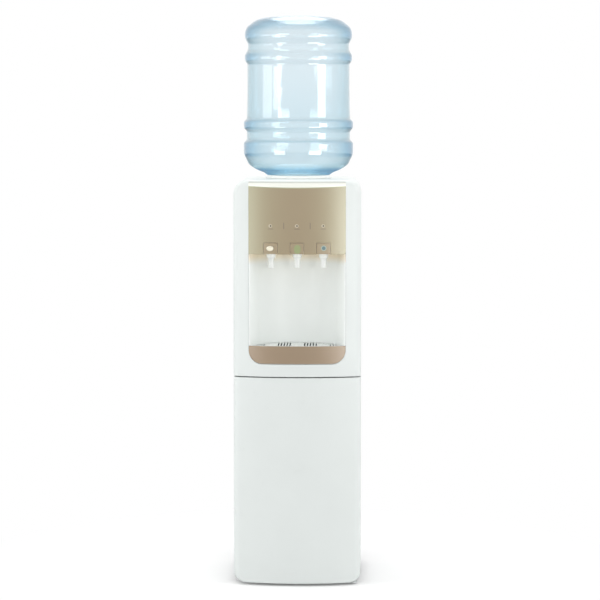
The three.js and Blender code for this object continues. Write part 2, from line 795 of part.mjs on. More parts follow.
// Bottle: ribbed shell with an open neck, shared values follow the seat
const coneSlope = (coneEnd - coneStart) / (bottle.coneEndRadius - bottle.coneStartRadius);
function coneZ(radius) {
  return coneStart + (radius - bottle.coneStartRadius) * coneSlope;
}
const bodyHeight = bottleTop - bodyFoot;
function buildBottle() {
  const ringShares = [
    [0.03, 1], [0.082, 1], [0.09, 0], [0.165, 0], [0.173, 0.92], [0.238, 0.92], [0.246, -0.02],
    [0.66, -0.12], [0.666, 0.55], [0.737, 0.55], [0.745, -0.3], [0.823, -0.3], [0.83, 0.6], [0.87, 0.6],
    [0.91, 0.1], [0.938, -1.1], [0.966, -3],
  ];
  const rib = bottle.ringRadius - bottle.bodyRadius;
  const shoulderShares = [[0.45, 0.21], [0.73, 0.42], [0.86, 0.63], [0.95, 0.84]];
  const shoulder = shoulderShares.map(([run, rise]) => [
    bottle.coneEndRadius + (bottle.ringRadius - bottle.coneEndRadius) * run,
    coneEnd + (bodyFoot - coneEnd) * rise,
  ]);
  const outer = [
    [bottle.neckRadius, neckBottom],
    [bottle.neckRadius, neckTop],
    [bottle.coneStartRadius, coneStart],
    [bottle.coneEndRadius, coneEnd],
    ...shoulder,
    ...ringShares.map(([rise, out]) => [bottle.bodyRadius + rib * out, bodyFoot + bodyHeight * rise]),
    [bottle.domeRadius, bottleTop - bottle.wall],
    [0, bottleTop],
  ];
  const waistShare = 0.3;
  const waist = bottle.bodyRadius - rib * waistShare - bottle.wall;
  const innerDomeShares = [[0.91, 1], [0.938, 0.93], [0.962, 0.8]];
  const innerDome = innerDomeShares.map(([rise, out]) => [
    waist * out,
    bodyFoot + bodyHeight * rise - bottle.wall,
  ]);
  const bore = bottle.neckRadius - bottle.neckWall;
  const [shoulderRadius, shoulderLevel] = shoulder[0];
  const inner = [
    [0, bottleTop - 2 * bottle.wall],
    [bottle.domeRadius, bottleTop - 3 * bottle.wall],
    ...innerDome.reverse(),
    [waist, bodyFoot],
    [shoulderRadius, shoulderLevel + 2 * bottle.wall],
    [bottle.coneStartRadius, coneStart + 2 * bottle.wall],
    [bore, neckTop],
    [bore, neckBottom],
  ];
  return turned([...outer, ...inner, outer[0]], roundSides);
}
addMesh('bottle', buildBottle(), finishes.bottle);

// Cap over the neck, pierced by the probe
const capOuter = bottle.neckRadius + bottleCap.gap + bottleCap.wall;
const capBottom = neckBottom - bottleCap.drop;
function buildBottleCap() {
  const hole = probe.radius + bottleCap.holeGap;
  const profile = [
    [hole, capBottom],
    [capOuter, capBottom],
    [capOuter, capBottom + bottleCap.skirt],
    [bottle.neckRadius + bottleCap.gap, capBottom + bottleCap.skirt],
    [bottle.neckRadius + bottleCap.gap, capBottom + bottleCap.floor],
    [hole, capBottom + bottleCap.floor],
    [hole, capBottom],
  ];
  return turned(profile, roundSides);
}
addMesh('bottle_cap', buildBottleCap(), finishes.cap);

// Bottle seat: a ring and funnel under the shoulder, with a well for the neck
const wellRadius = bottle.neckRadius + seat.neckGap;
const spigot = { outer: 11, bore: 8.5, length: 11 };
function buildSeat() {
  const ringTop = coneZ(seat.ringRadius) - seat.drop;
  const wellOuter = wellRadius + seat.wall;
  const flangeZ = cabinet.top + fit;
  const under = seat.wall * 2;
  const throat = bottle.coneStartRadius + seat.wall / 2;
  const throatOuter = throat + seat.wall;
  const profile = [
    [spigot.bore, seatFloor - spigot.length],
    [spigot.outer, seatFloor - spigot.length],
    [spigot.outer, seatFloor],
    [wellOuter, seatFloor],
    [wellOuter, neckTop],
    [throatOuter, coneZ(throatOuter) - under],
    [seat.hopperRadius, coneZ(seat.hopperRadius) - under],
    [seat.hopperRadius, flangeZ],
    [seat.flangeRadius, flangeZ],
    [seat.flangeRadius, flangeZ + seat.flangeLip],
    [seat.ringRadius + seat.drop, ringTop + fit],
    [seat.ringRadius, ringTop],
    [throat, coneZ(throat) - seat.drop],
    [wellRadius, neckTop + seat.wall],
    [wellRadius, seatFloor + seat.wall],
    [spigot.bore, seatFloor + seat.wall],
    [spigot.bore, seatFloor - spigot.length],
  ];
  return turned(profile, roundSides);
}
addMesh('bottle_seat', buildSeat(), finishes.white);

// Probe that pierces the cap: a hollow stem with side windows and a flange
function buildProbe() {
  const base = seatFloor + seat.wall + fit;
  const top = base + probe.height;
  const bore = probe.radius - probe.wall;
  const tipShares = [[1, 0.75], [0.8, 0.93], [0.4, 1]];
  const profile = [
    [bore, base],
    [probe.flangeRadius, base],
    [probe.flangeRadius, base + probe.flange],
    [probe.radius, base + probe.flange],
    ...tipShares.map(([out, rise]) => [probe.radius * out, base + probe.height * rise]),
    [0, top],
    [0, top - probe.wall * 2],
    [bore, top - probe.slotHeight],
    [bore, base],
  ];
  const z = [base + probe.height / 2, base + probe.height / 2 + probe.slotHeight];
  const half = probe.slotWidth / 2;
  const reach = [-probe.radius - overrun, probe.radius + overrun];
  return turned(profile, bossSides)
    .subtract(block([-half, half], reach, z))
    .subtract(block(reach, [-half, half], z));
}
addMesh('water_probe', buildProbe(), finishes.liner);

// Sheets across the cabinet: the partition over the lower compartment and the tank shelf
const partitionY = faceY + basePan.frontGap;
const riser = { fromSide: 22, fromBack: 18, radius: 12 };
const riserX = halfWidth - riser.fromSide;
const riserY = backPlaneY - riser.fromBack;
const hoseHole = { fromSide: 30, y: 14, radius: 10 };
const hoseHoleX = hoseHole.fromSide - halfWidth;
const feed = { x: 30, y: 60, radius: 9 };
function buildPartition() {
  return crossSheet(headBottom, partitionY, fit)
    .subtract(rodZ(riserX, riserY, riser.radius, headBottom - overrun, headBottom + overrun));
}
addMesh('partition', buildPartition(), finishes.zinc);

const tankShelfNear = alcoveBackY + mouldedWall + coldFoam.frontGap;
const shelfTurnDown = 10;
function buildTankShelf() {
  const z = [shelfLevel - overrun, shelfLevel + overrun];
  return crossSheet(shelfLevel, tankShelfNear, shelfTurnDown)
    .subtract(rodZ(riserX, riserY, riser.radius, ...z))
    .subtract(rodZ(hoseHoleX, hoseHole.y, hoseHole.radius, ...z))
    .subtract(rodZ(feed.x, feed.y, feed.radius, ...z));
}
addMesh('tank_shelf', buildTankShelf(), finishes.zinc);

// Cold tank with its outlets, the evaporator coil round it and the foam jacket
const coldSpigot = { radius: 4.5, reach: 12, rise: 10, ambientRise: 104, ambientReach: 8, feedDrop: 6 };
const outletReach = coldFoam.wall + 2 * coil.tubeRadius + coldSpigot.reach;
const coldOutletZ = coldBottom + coldSpigot.rise;
const ambientOutletZ = coldBottom + coldSpigot.ambientRise;
const coilRadius = (coldTank.radius + fit + coil.tubeRadius) / Math.cos(Math.PI / coil.stepsPerTurn);
const foamInner = (coilRadius + coil.tubeRadius + fit) / Math.cos(Math.PI / roundSides);
const foamOuter = foamInner + coldFoam.wall;
const ambientEndY = tankShelfNear - coldSpigot.ambientReach;
const feedEndZ = shelfLevel - coldSpigot.feedDrop;
function buildColdTank() {
  const inner = coldTank.radius - coldTank.wall;
  const floor = coldBottom + coldTank.wall;
  const body = rodZ(0, coldTank.y, coldTank.radius, coldBottom, coldTop, roundSides);
  const hollow = rodZ(0, coldTank.y, inner, floor, coldTop - coldTank.wall, roundSides);
  const mouth = rodZ(0, 0, spigot.outer + fit, coldTop - overrun, coldTop + overrun, drumSides);
  const outlet = coldSpigot.radius;
  const right = rodX(coldTank.y, coldOutletZ, outlet, inner, coldTank.radius + outletReach, boreSides);
  const front = rodY(0, ambientOutletZ, outlet, ambientEndY, coldTank.y - inner, boreSides);
  const low = rodZ(feed.x, feed.y, outlet, feedEndZ, floor, boreSides);
  return body.add(right).add(front).add(low).subtract(hollow).subtract(mouth);
}
addMesh('cold_tank', buildColdTank(), finishes.steel);

class Helix extends THREE.Curve {
  getPoint(t) {
    const angle = -Math.PI / 3 + t * coil.turns * 2 * Math.PI;
    const z = coldBottom + coil.bottomRise + t * coil.turns * coil.pitch;
    const [x, y] = [coilRadius * Math.cos(angle), coilRadius * Math.sin(angle)];
    return new THREE.Vector3(x, coldTank.y + y, z);
  }
}
const winding = swept(new Helix(), coil.tubeRadius, coil.sides, coil.turns * coil.stepsPerTurn);
addMesh('evaporator_coil', winding, finishes.copper);

function buildColdFoam() {
  const bottom = shelfLevel + sheetWall + fit;
  const top = coldTop - coldFoam.topDrop;
  const outer = rodZ(0, coldTank.y, foamOuter, bottom, top, roundSides);
  const keep = block([-foamOuter, foamOuter], [tankShelfNear, rearY], [bottom, top]);
  const hollow = rodZ(0, coldTank.y, foamInner, coldBottom - fit, top + overrun, roundSides);
  const room = coldSpigot.radius + fit * 2;
  return outer.intersect(keep)
    .subtract(hollow)
    .subtract(rodX(coldTank.y, coldOutletZ, room, 0, foamOuter + overrun, boreSides))
    .subtract(rodY(0, ambientOutletZ, room, frontY, coldTank.y, boreSides))
    .subtract(rodZ(feed.x, feed.y, room, bottom - overrun, coldBottom + overrun, boreSides));
}
addMesh('cold_tank_foam', buildColdFoam(), finishes.foam);

// Hot tank in its jacket, standing on the partition
const jacketBottom = headBottom + sheetWall + fit;
const hotBottom = jacketBottom + hotJacket.wall + fit;
const jacketRadius = hotTank.radius + hotJacket.wall;
const hotSpigot = { radius: 4.5, rise: 24, feedZ: 26, feedReach: 24 };
const hotTop = shelfLevel - hotTank.headRoom;
const hotFeedX = hotTank.x + hotTank.radius + hotSpigot.feedReach;
function buildHotTank() {
  const { x, radius, wall } = hotTank;
  const spout = hotSpigot.radius;
  const spoutTop = hotTop + hotSpigot.rise;
  const body = rodZ(x, hotY, radius, hotBottom, hotTop, drumSides);
  const hollow = rodZ(x, hotY, radius - wall, hotBottom + wall, hotTop - wall, drumSides);
  const top = rodZ(x, hotY, spout, hotTop - wall, spoutTop, boreSides);
  const bore = rodZ(x, hotY, spout - wall, hotTop - overrun, spoutTop + overrun, boreSides);
  const side = rodX(hotY, hotBottom + hotSpigot.feedZ, spout, x + radius - wall, hotFeedX, boreSides);
  return body.subtract(hollow).add(top).add(side).subtract(bore);
}
addMesh('hot_tank', buildHotTank(), finishes.steel);

function buildHotJacket() {
  const { x, radius } = hotTank;
  const top = hotTop + fit + hotJacket.topWall;
  const room = hotSpigot.radius + fit * 2;
  const feedZ = hotBottom + hotSpigot.feedZ;
  return rodZ(x, hotY, jacketRadius, jacketBottom, top, drumSides)
    .subtract(rodZ(x, hotY, radius + fit, hotBottom - fit, hotTop + fit, drumSides))
    .subtract(rodZ(x, hotY, room, hotTop - overrun, top + overrun, boreSides))
    .subtract(rodX(hotY, feedZ, room, x, x + jacketRadius + overrun, boreSides));
}
addMesh('hot_tank_jacket', buildHotJacket(), finishes.foam);

// Drain spout through the back panel, with its screwed cap
const jacketRear = hotY + jacketRadius;
function buildDrainSpout() {
  const near = jacketRear + fit;
  const end = backPlaneY + drain.length;
  const flangeRun = [backPlaneY + fit, backPlaneY + fit + drain.flange];
  const flange = rodY(hotTank.x, drainZ, drain.flangeRadius, ...flangeRun, drumSides);
  const pipeBody = rodY(hotTank.x, drainZ, drain.radius, near, end);
  const bore = rodY(hotTank.x, drainZ, drain.bore, near - overrun, end + overrun, boreSides);
  return pipeBody.add(flange).subtract(bore);
}
addMesh('drain_spout', buildDrainSpout(), finishes.white);
function buildDrainCap() {
  const near = backPlaneY + fit + drain.flange + fit;
  const far = rearY;
  const end = backPlaneY + drain.length + fit;
  const cup = rodY(hotTank.x, drainZ, drain.capRadius, near, far);
  const hollow = rodY(hotTank.x, drainZ, drain.radius + fit, near - overrun, end);
  return cup.subtract(hollow);
}
addMesh('drain_cap', buildDrainCap(), finishes.grey);

// Silicone hoses between the tanks and the taps
const tapInletY = tapFront + tapBody.depth + tapBody.inletLength + fit;
const hoseRun = { midY: -34, rise: 46, startRise: 8 };
const coldOutletX = coldTank.radius + outletReach + fit;
const hoseSideX = (coldOutletX + innerHalfWidth) / 2;
const hotOutletZ = hotTop + hotSpigot.rise + fit;
function addHose(name, points, steps) {
  addMesh(name, swept(throughPoints(points), hose.radius, hose.sides, steps), finishes.silicone);
}
addHose('hose_cold', [
  [coldOutletX, coldTank.y, coldOutletZ],
  [coldOutletX + hose.radius, coldTank.y, coldOutletZ],
  [hoseSideX, coldTank.y - hoseRun.startRise, coldOutletZ + hoseRun.startRise],
  [hoseSideX, hoseRun.midY, coldOutletZ + hoseRun.rise],
  [(hoseSideX + nozzleSpacing) / 2, (hoseRun.midY + tapInletY) / 2, stemZ],
  [nozzleSpacing, tapInletY + hose.radius * 2, stemZ],
  [nozzleSpacing, tapInletY, stemZ],
], 18);
addHose('hose_hot', [
  [hotTank.x, hotY, hotOutletZ],
  [hotTank.x, hotY, hotOutletZ + hose.radius / 2],
  [hotTank.x - hose.radius * 2, hotY - hose.radius, hotOutletZ + hose.radius * 2],
  [hoseHoleX, hoseHole.y + hose.radius, shelfLevel - hose.radius],
  [hoseHoleX, hoseHole.y - hose.radius, shelfLevel + hoseRun.rise],
  [-(hoseSideX + nozzleSpacing) / 2, (hoseRun.midY + tapInletY) / 2, stemZ],
  [-nozzleSpacing, tapInletY + hose.radius * 2, stemZ],
  [-nozzleSpacing, tapInletY, stemZ],
], 26);
addHose('hose_ambient', [
  [0, ambientEndY - fit, ambientOutletZ],
  [0, ambientEndY - hose.radius, ambientOutletZ],
  [0, (ambientEndY + tapInletY) / 2, (ambientOutletZ + stemZ) / 2],
  [0, tapInletY + hose.radius, stemZ],
  [0, tapInletY, stemZ],
], 10);
const feedZ = hotBottom + hotSpigot.feedZ;
addHose('hose_feed', [
  [feed.x, feed.y, feedEndZ - fit],
  [feed.x, feed.y, feedEndZ - hoseRun.startRise],
  [hotFeedX + hose.radius * 3, hotY, feedZ + hose.radius * 3],
  [hotFeedX + hose.radius, hotY, feedZ],
  [hotFeedX + fit, hotY, feedZ],
], 20);

// Control box on the partition
function buildControlBox() {
  const { width, depth, height } = controlBox;
  const x = halfWidth - controlBox.fromSide;
  const y = backPlaneY - controlBox.fromBack;
  const run = [y - depth / 2, y + depth / 2];
  return block([x - width / 2, x + width / 2], run, [jacketBottom, jacketBottom + height]);
}
addMesh('control_box', buildControlBox(), finishes.grey);

// Lower compartment: a moulded liner with a front flange, ledges and a slotted shelf
const flangeHalf = halfWidth - sidePanel.flange - fit;
const linerBack = backPlaneY - compartment.fromBack;
function buildCompartmentLiner() {
  const { wall, bottom, ledge, ledgeZ, flangeBottom } = compartment;
  const half = compartmentHalf;
  const top = compartmentTop;
  const near = faceY + fit;
  const flange = block([-flangeHalf, flangeHalf], [near, near + wall], [flangeBottom, doorTop]);
  const box = block([-half - wall, half + wall], [near, linerBack + wall], [bottom - wall, top + wall]);
  const hollow = block([-half, half], [near - overrun, linerBack], [bottom, top]);
  const setBack = gasket.width;
  const ledges = [-1, 1].map((side) => {
    const edges = [side * (half + wall / 2), side * (half - ledge)].sort((a, b) => a - b);
    return block(edges, [near + setBack, linerBack + wall / 2], [ledgeZ - ledge, ledgeZ]);
  });
  return flange.add(box).subtract(hollow).add(ledges[0]).add(ledges[1]);
}
addMesh('compartment_liner', buildCompartmentLiner(), finishes.liner);

function buildShelf() {
  const half = compartmentHalf - fit;
  const near = faceY + gasket.width + fit;
  const far = linerBack - fit;
  const low = compartment.ledgeZ + fit;
  let plate = block([-half, half], [near, far], [low, low + shelf.thickness]);
  const count = Math.floor((half - shelf.edge) / shelf.slotPitch);
  for (let i = -count; i <= count; i += 1) {
    const x = i * shelf.slotPitch;
    const width = [x - shelf.slotWidth / 2, x + shelf.slotWidth / 2];
    const run = [near + shelf.edge, far - shelf.edge];
    plate = plate.subtract(block(width, run, [low - overrun, low + overrun * 2]));
  }
  return plate;
}
addMesh('compartment_shelf', buildShelf(), finishes.liner);

// Door: a bowed outer shell, an inner liner with a plug and a gasket round the plug
const doorBackY = faceY - door.backGap;
const hingeX = halfWidth - hinge.fromSide;
const hingeY = faceY - hinge.fromFace;
function doorBody(inset, back) {
  return prismZ(frontPlan(inset, back), doorBottom + inset, doorTop - inset)
    .intersect(silhouette(inset, frontY - overrun, back + overrun));
}
function pinHole(low, high) {
  return rodZ(hingeX, hingeY, hinge.pinRadius + hinge.pinGap, low, high, pinSides);
}
function buildDoorShell() {
  return doorBody(0, doorBackY)
    .subtract(doorBody(mouldedWall, doorBackY + overrun))
    .subtract(pinHole(doorBottom - overrun, doorBottom + mouldedWall + overrun))
    .subtract(pinHole(doorTop - mouldedWall - overrun, doorTop + overrun));
}
addMesh('door_shell', buildDoorShell(), finishes.white);

const plugHalf = compartmentHalf - door.plugInset;
const plugBottom = compartment.bottom + door.plugRise;
const plugTop = compartmentTop - door.plugRise;
const gasketOuterX = plugHalf + gasket.gap + gasket.width;
function buildDoorLiner() {
  const skin = doorBody(mouldedWall + fit, doorBackY);
  const y = [doorBackY - door.linerWall, doorBackY + door.plugDepth];
  const slab = block([-cabinet.width, cabinet.width], [y[0], doorBackY], [0, seam.height]);
  const plug = block([-plugHalf, plugHalf], y, [plugBottom, plugTop]);
  const x = plugHalf - door.linerWall;
  const pocket = block(
    [-x, x],
    [y[0] - overrun, y[1] - door.linerWall],
    [plugBottom + door.linerWall, plugTop - door.linerWall],
  );
  return skin.intersect(slab).add(plug).subtract(pocket);
}
addMesh('door_liner', buildDoorLiner(), finishes.liner);

function buildGasket() {
  const { width, gap } = gasket;
  const y = [doorBackY + fit, faceY - fit];
  const low = plugBottom - gap - width;
  const high = plugTop + gap + width;
  const frame = block([-gasketOuterX, gasketOuterX], y, [low, high]);
  const inner = plugHalf + gap;
  const hole = block([-inner, inner], [y[0] - overrun, y[1] + overrun], [low + width, high - width]);
  return frame.subtract(hole);
}
addMesh('door_gasket', buildGasket(), finishes.grey);

// Hinge brackets: plates with a pin into the bottom and the top of the door
const bracketPlate = { inner: 27, outer: 6, front: 8, rear: 26 };
function bracketBox(low, high, near, far) {
  return block([hingeX - bracketPlate.inner, hingeX + bracketPlate.outer], [near, far], [low, high]);
}
function buildLowerHinge() {
  const high = doorBottom - hinge.plateDrop;
  const seatTop = foot.height - fit;
  const step = hingeY + bracketPlate.rear;
  return bracketBox(high - hinge.plate, high, hingeY - bracketPlate.front, step + hinge.plate)
    .add(bracketBox(high - hinge.plate, seatTop, step, step + bracketPlate.rear))
    .add(rodZ(hingeX, hingeY, hinge.pinRadius, high - hinge.plate, high + hinge.pinLength, pinSides));
}
addMesh('hinge_lower', buildLowerHinge(), finishes.steel);
function buildUpperHinge() {
  const low = headBottom + sheetWall + fit;
  const high = low + hinge.plate;
  return bracketBox(low, high, hingeY - bracketPlate.front, hingeY + 2 * bracketPlate.rear)
    .add(rodZ(hingeX, hingeY, hinge.pinRadius, doorTop - hinge.pinLength, high, pinSides));
}
addMesh('hinge_upper', buildUpperHinge(), finishes.steel);

// Compressor on the base pan
const compressorFoot = foot.height + basePan.floor + fit;
const stub = { radius: 3.2, reach: 10 };
const stubX = compressor.radius / 4;
function buildCompressor() {
  const { x, radius, bodyHeight, postRadius, post, plate, postX, postY } = compressor;
  const plateTop = compressorFoot + post + plate;
  const domeShares = [[0.86, 0], [1, 0.12], [1, 0.72], [0.86, 0.9], [0.5, 1]];
  const profile = [
    [0, plateTop - plate / 2],
    ...domeShares.map(([out, rise]) => [radius * out, plateTop - plate / 2 + bodyHeight * rise]),
    [0, plateTop - plate / 2 + bodyHeight],
  ];
  let solid = turned(profile, drumSides);
  const [plateX, plateY] = [postX + postRadius, postY + postRadius];
  solid = solid.add(block([-plateX, plateX], [-plateY, plateY], [plateTop - plate, plateTop]));
  [-1, 1].forEach((sx) => {
    [-1, 1].forEach((sy) => {
      const levels = [compressorFoot, plateTop - plate / 2];
      solid = solid.add(rodZ(sx * postX, sy * postY, postRadius, ...levels, boreSides));
    });
  });
  const high = plateTop + bodyHeight;
  [-1, 1].forEach((side) => {
    const levels = [high - plate * 2, high + stub.reach];
    solid = solid.add(rodZ(side * stubX, 0, stub.radius, ...levels, boreSides));
  });
  return solid.translate([x, compressorY, 0]);
}
addMesh('compressor', buildCompressor(), finishes.black);

// Condenser: a serpentine tube on two rails at the back
const condenserY = backPlaneY + condenser.standOff;
function buildCondenser() {
  const path = new THREE.CurvePath();
  const turn = condenserPitch / 2;
  let heading = -1;
  for (let i = 0; i < condenser.passes; i += 1) {
    const z = condenserTop - i * condenserPitch;
    const end = heading * condenserHalf;
    const ends = [-end, end].map((x) => new THREE.Vector3(x, condenserY, z));
    path.add(new THREE.LineCurve3(...ends));
    if (i < condenser.passes - 1) {
      const bend = new THREE.Curve();
      const side = heading;
      bend.getPoint = (t) => new THREE.Vector3(
        end + side * turn * Math.sin(Math.PI * t),
        condenserY,
        z - turn + turn * Math.cos(Math.PI * t),
      );
      path.add(bend);
    }
    heading = -heading;
  }
  let solid = swept(path, condenser.tubeRadius, condenser.sides, condenser.steps);
  const railShare = 0.8;
  const railHalf = 4;
  [-1, 1].forEach((side) => {
    const x = side * condenserHalf * railShare;
    const z = [condenserBottom - condenserPitch / 4, condenserTop + condenserPitch / 4];
    solid = solid.add(block([x - railHalf, x + railHalf], [backPlaneY + fit, condenserY], z));
  });
  return solid;
}
addMesh('condenser', buildCondenser(), finishes.black);

// Filter drier below the lower end of the condenser
function buildDrier() {
  const top = condenserBottom - condenser.tubeRadius - fit;
  const x = drier.neckRadius - condenserHalf;
  const low = top - drier.length;
  const { radius, neckRadius, neck } = drier;
  const profile = [
    [0, low],
    [neckRadius, low],
    [neckRadius, low + neck],
    [radius, low + neck * 2],
    [radius, top - neck * 2],
    [neckRadius, top - neck],
    [neckRadius, top],
    [0, top],
  ];
  return turned(profile, pinSides).translate([x, condenserY, 0]);
}
addMesh('filter_drier', buildDrier(), finishes.copper);

// Refrigerant pipes: hot gas up to the condenser, cold vapour back from the foam jacket
const stubTop = compressorFoot + compressor.post + compressor.plate + compressor.bodyHeight + stub.reach;
const pipeStart = stubTop + fit;
const pipeRun = { fromSide: 18, bendRise: 14, high: 21, drop: 28 };
const pipeX = halfWidth - pipeRun.fromSide;
function addPipe(name, points, steps) {
  addMesh(name, swept(throughPoints(points), pipe.radius, pipe.sides, steps), finishes.copper);
}
addPipe('discharge_pipe', [
  [compressor.x + stubX, compressorY, pipeStart],
  [compressor.x + stubX, compressorY, pipeStart + pipe.radius],
  [compressor.x + compressor.radius, compressorY + pipeRun.bendRise, pipeStart + pipeRun.bendRise],
  [pipeX, condenserY, pipeStart + pipeRun.high],
  [pipeX, condenserY, backPanel.bottom + pipeRun.high],
  [pipeX, condenserY, (backPanel.bottom + condenserTop) / 2],
  [pipeX, condenserY, condenserTop - pipeRun.drop],
  [pipeX - pipeRun.bendRise / 2, condenserY, condenserTop - pipe.radius],
  [condenserHalf + pipe.radius * 4, condenserY, condenserTop],
  [condenserHalf + fit, condenserY, condenserTop],
], 44);
const suctionZ = coldOutletZ + pipeRun.bendRise * 3;
addPipe('suction_pipe', [
  [compressor.x - stubX, compressorY, pipeStart],
  [compressor.x - stubX, compressorY, pipeStart + pipe.radius],
  [compressor.x, compressorY + pipeRun.bendRise, pipeStart + pipeRun.bendRise * 3],
  [riserX, riserY, pipeStart + pipeRun.bendRise * 6],
  [riserX, riserY, headBottom],
  [riserX, riserY, shelfLevel],
  [riserX - pipe.radius, riserY - pipeRun.bendRise, shelfLevel + pipeRun.bendRise * 2],
  [foamOuter + pipeRun.bendRise, coldTank.y + pipeRun.bendRise, suctionZ],
  [foamOuter + pipe.radius * 2, coldTank.y, suctionZ],
  [foamOuter + fit, coldTank.y, suctionZ],
], 40);

// Switch plate with two rockers, and the power inlet, all on the back panel
const plateFar = backPlaneY + fit + switchPlate.thickness;
const switchX = [switchPlateX - rocker.spacing / 2, switchPlateX + rocker.spacing / 2];
function buildSwitchPlate() {
  const { width, height } = switchPlate;
  const [x, z] = [switchPlateX, switchPlateZ];
  const levels = [z - height / 2, z + height / 2];
  let plate = block([x - width / 2, x + width / 2], [backPlaneY + fit, plateFar], levels);
  const halfWide = rocker.width / 2 + rocker.gap;
  const halfHigh = rocker.height / 2 + rocker.gap;
  switchX.forEach((sx) => {
    const y = [backPlaneY - overrun, plateFar + overrun];
    plate = plate.subtract(block([sx - halfWide, sx + halfWide], y, [z - halfHigh, z + halfHigh]));
  });
  return plate;
}
addMesh('switch_plate', buildSwitchPlate(), finishes.black);
const rockerAxisY = plateFar - rocker.proud;
['hot', 'cold'].forEach((name, i) => {
  const steps = 6;
  const crown = arcPoints(rockerAxisY, 0, rocker.height / 2, -Math.PI / 2, Math.PI / 2, steps);
  const outline = [...crown, new THREE.Vector2(rockerAxisY - rocker.depth / 2, 0)];
  const x = switchX[i];
  const solid = prismX(outline, x - rocker.width / 2, x + rocker.width / 2);
  addMesh(`switch_${name}`, solid.translate([0, 0, switchPlateZ]), finishes.rubber);
});

function buildInlet() {
  const { width, height, flange, depth, flangeLip, pocket, pocketWall } = inlet;
  const [x, z] = [switchPlateX, inletZ];
  const near = backPlaneY - depth;
  const far = backPlaneY + fit + flange;
  const body = block([x - width / 2, x + width / 2], [near, far], [z - height / 2, z + height / 2]);
  const lip = block(
    [x - width / 2 - flangeLip, x + width / 2 + flangeLip],
    [backPlaneY + fit, far],
    [z - height / 2 - flangeLip, z + height / 2 + flangeLip],
  );
  const hollow = block(
    [x - width / 2 + pocketWall, x + width / 2 - pocketWall],
    [far - pocket, far + overrun],
    [z - height / 2 + pocketWall, z + height / 2 - pocketWall],
  );
  return body.add(lip).subtract(hollow);
}
addMesh('power_inlet', buildInlet(), finishes.black);

export default dispenser;
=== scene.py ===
"""Water dispenser with an inverted bottle: the looks of each piece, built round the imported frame.

Metres, +Z up, the front faces -Y, the origin on the floor in the middle of the footprint.
"""

from __future__ import annotations

import logging
import math
from collections.abc import Iterable, Sequence
from dataclasses import dataclass
from enum import Enum
from functools import cached_property

import bmesh
import bpy
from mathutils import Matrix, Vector

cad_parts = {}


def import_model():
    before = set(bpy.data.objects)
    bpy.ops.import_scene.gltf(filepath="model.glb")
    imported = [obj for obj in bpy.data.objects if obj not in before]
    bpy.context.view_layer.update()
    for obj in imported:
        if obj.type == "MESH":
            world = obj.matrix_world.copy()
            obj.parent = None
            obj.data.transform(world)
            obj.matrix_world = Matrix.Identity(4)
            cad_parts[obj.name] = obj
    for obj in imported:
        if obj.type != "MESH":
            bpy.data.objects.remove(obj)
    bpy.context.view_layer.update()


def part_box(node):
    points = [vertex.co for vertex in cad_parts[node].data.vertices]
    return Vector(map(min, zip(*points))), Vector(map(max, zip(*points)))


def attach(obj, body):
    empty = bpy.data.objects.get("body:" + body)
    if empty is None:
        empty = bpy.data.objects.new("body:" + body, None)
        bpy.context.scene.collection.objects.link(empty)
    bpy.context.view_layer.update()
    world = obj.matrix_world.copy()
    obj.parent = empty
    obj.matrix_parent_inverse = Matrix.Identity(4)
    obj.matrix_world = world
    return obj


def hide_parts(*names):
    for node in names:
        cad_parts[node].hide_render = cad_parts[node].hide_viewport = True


LOG = logging.getLogger("dispenser")
TURN = 2.0 * math.pi
QUARTER = math.pi / 2
WHITE = (1.0, 1.0, 1.0)

Point = tuple[float, float]
Place = tuple[float, float, float]
Colour = tuple[float, float, float]
Piece = bpy.types.Object
Material = bpy.types.Material


def srgb(red: int, green: int, blue: int) -> Colour:
    """Linear colour of a screen colour, whose channels run from 0 to 255.

    Args:
        red: Red, 0 to 255.
        green: Green, 0 to 255.
        blue: Blue, 0 to 255.

    Returns:
        The three linear values, 0 to 1.
    """

    def linear(level: int) -> float:
        """Linear value of one channel."""
        share = level / 255.0
        return share / 12.92 if share <= 0.04045 else ((share + 0.055) / 1.055) ** 2.4

    return linear(red), linear(green), linear(blue)


class Axis(Enum):
    """Direction that an outline is run along, or a profile is turned about."""

    X = 0
    Y = 1
    Z = 2

    def place(self, across: float, up: float, along: float) -> Place:
        """Point in space of a place in an outline and a distance along the axis."""
        return ((along, across, up), (across, along, up), (across, up, along))[self.value]


class Carve(Enum):
    """Ways that one solid works on another."""

    CUT = "DIFFERENCE"
    KEEP = "INTERSECT"
    ADD = "UNION"


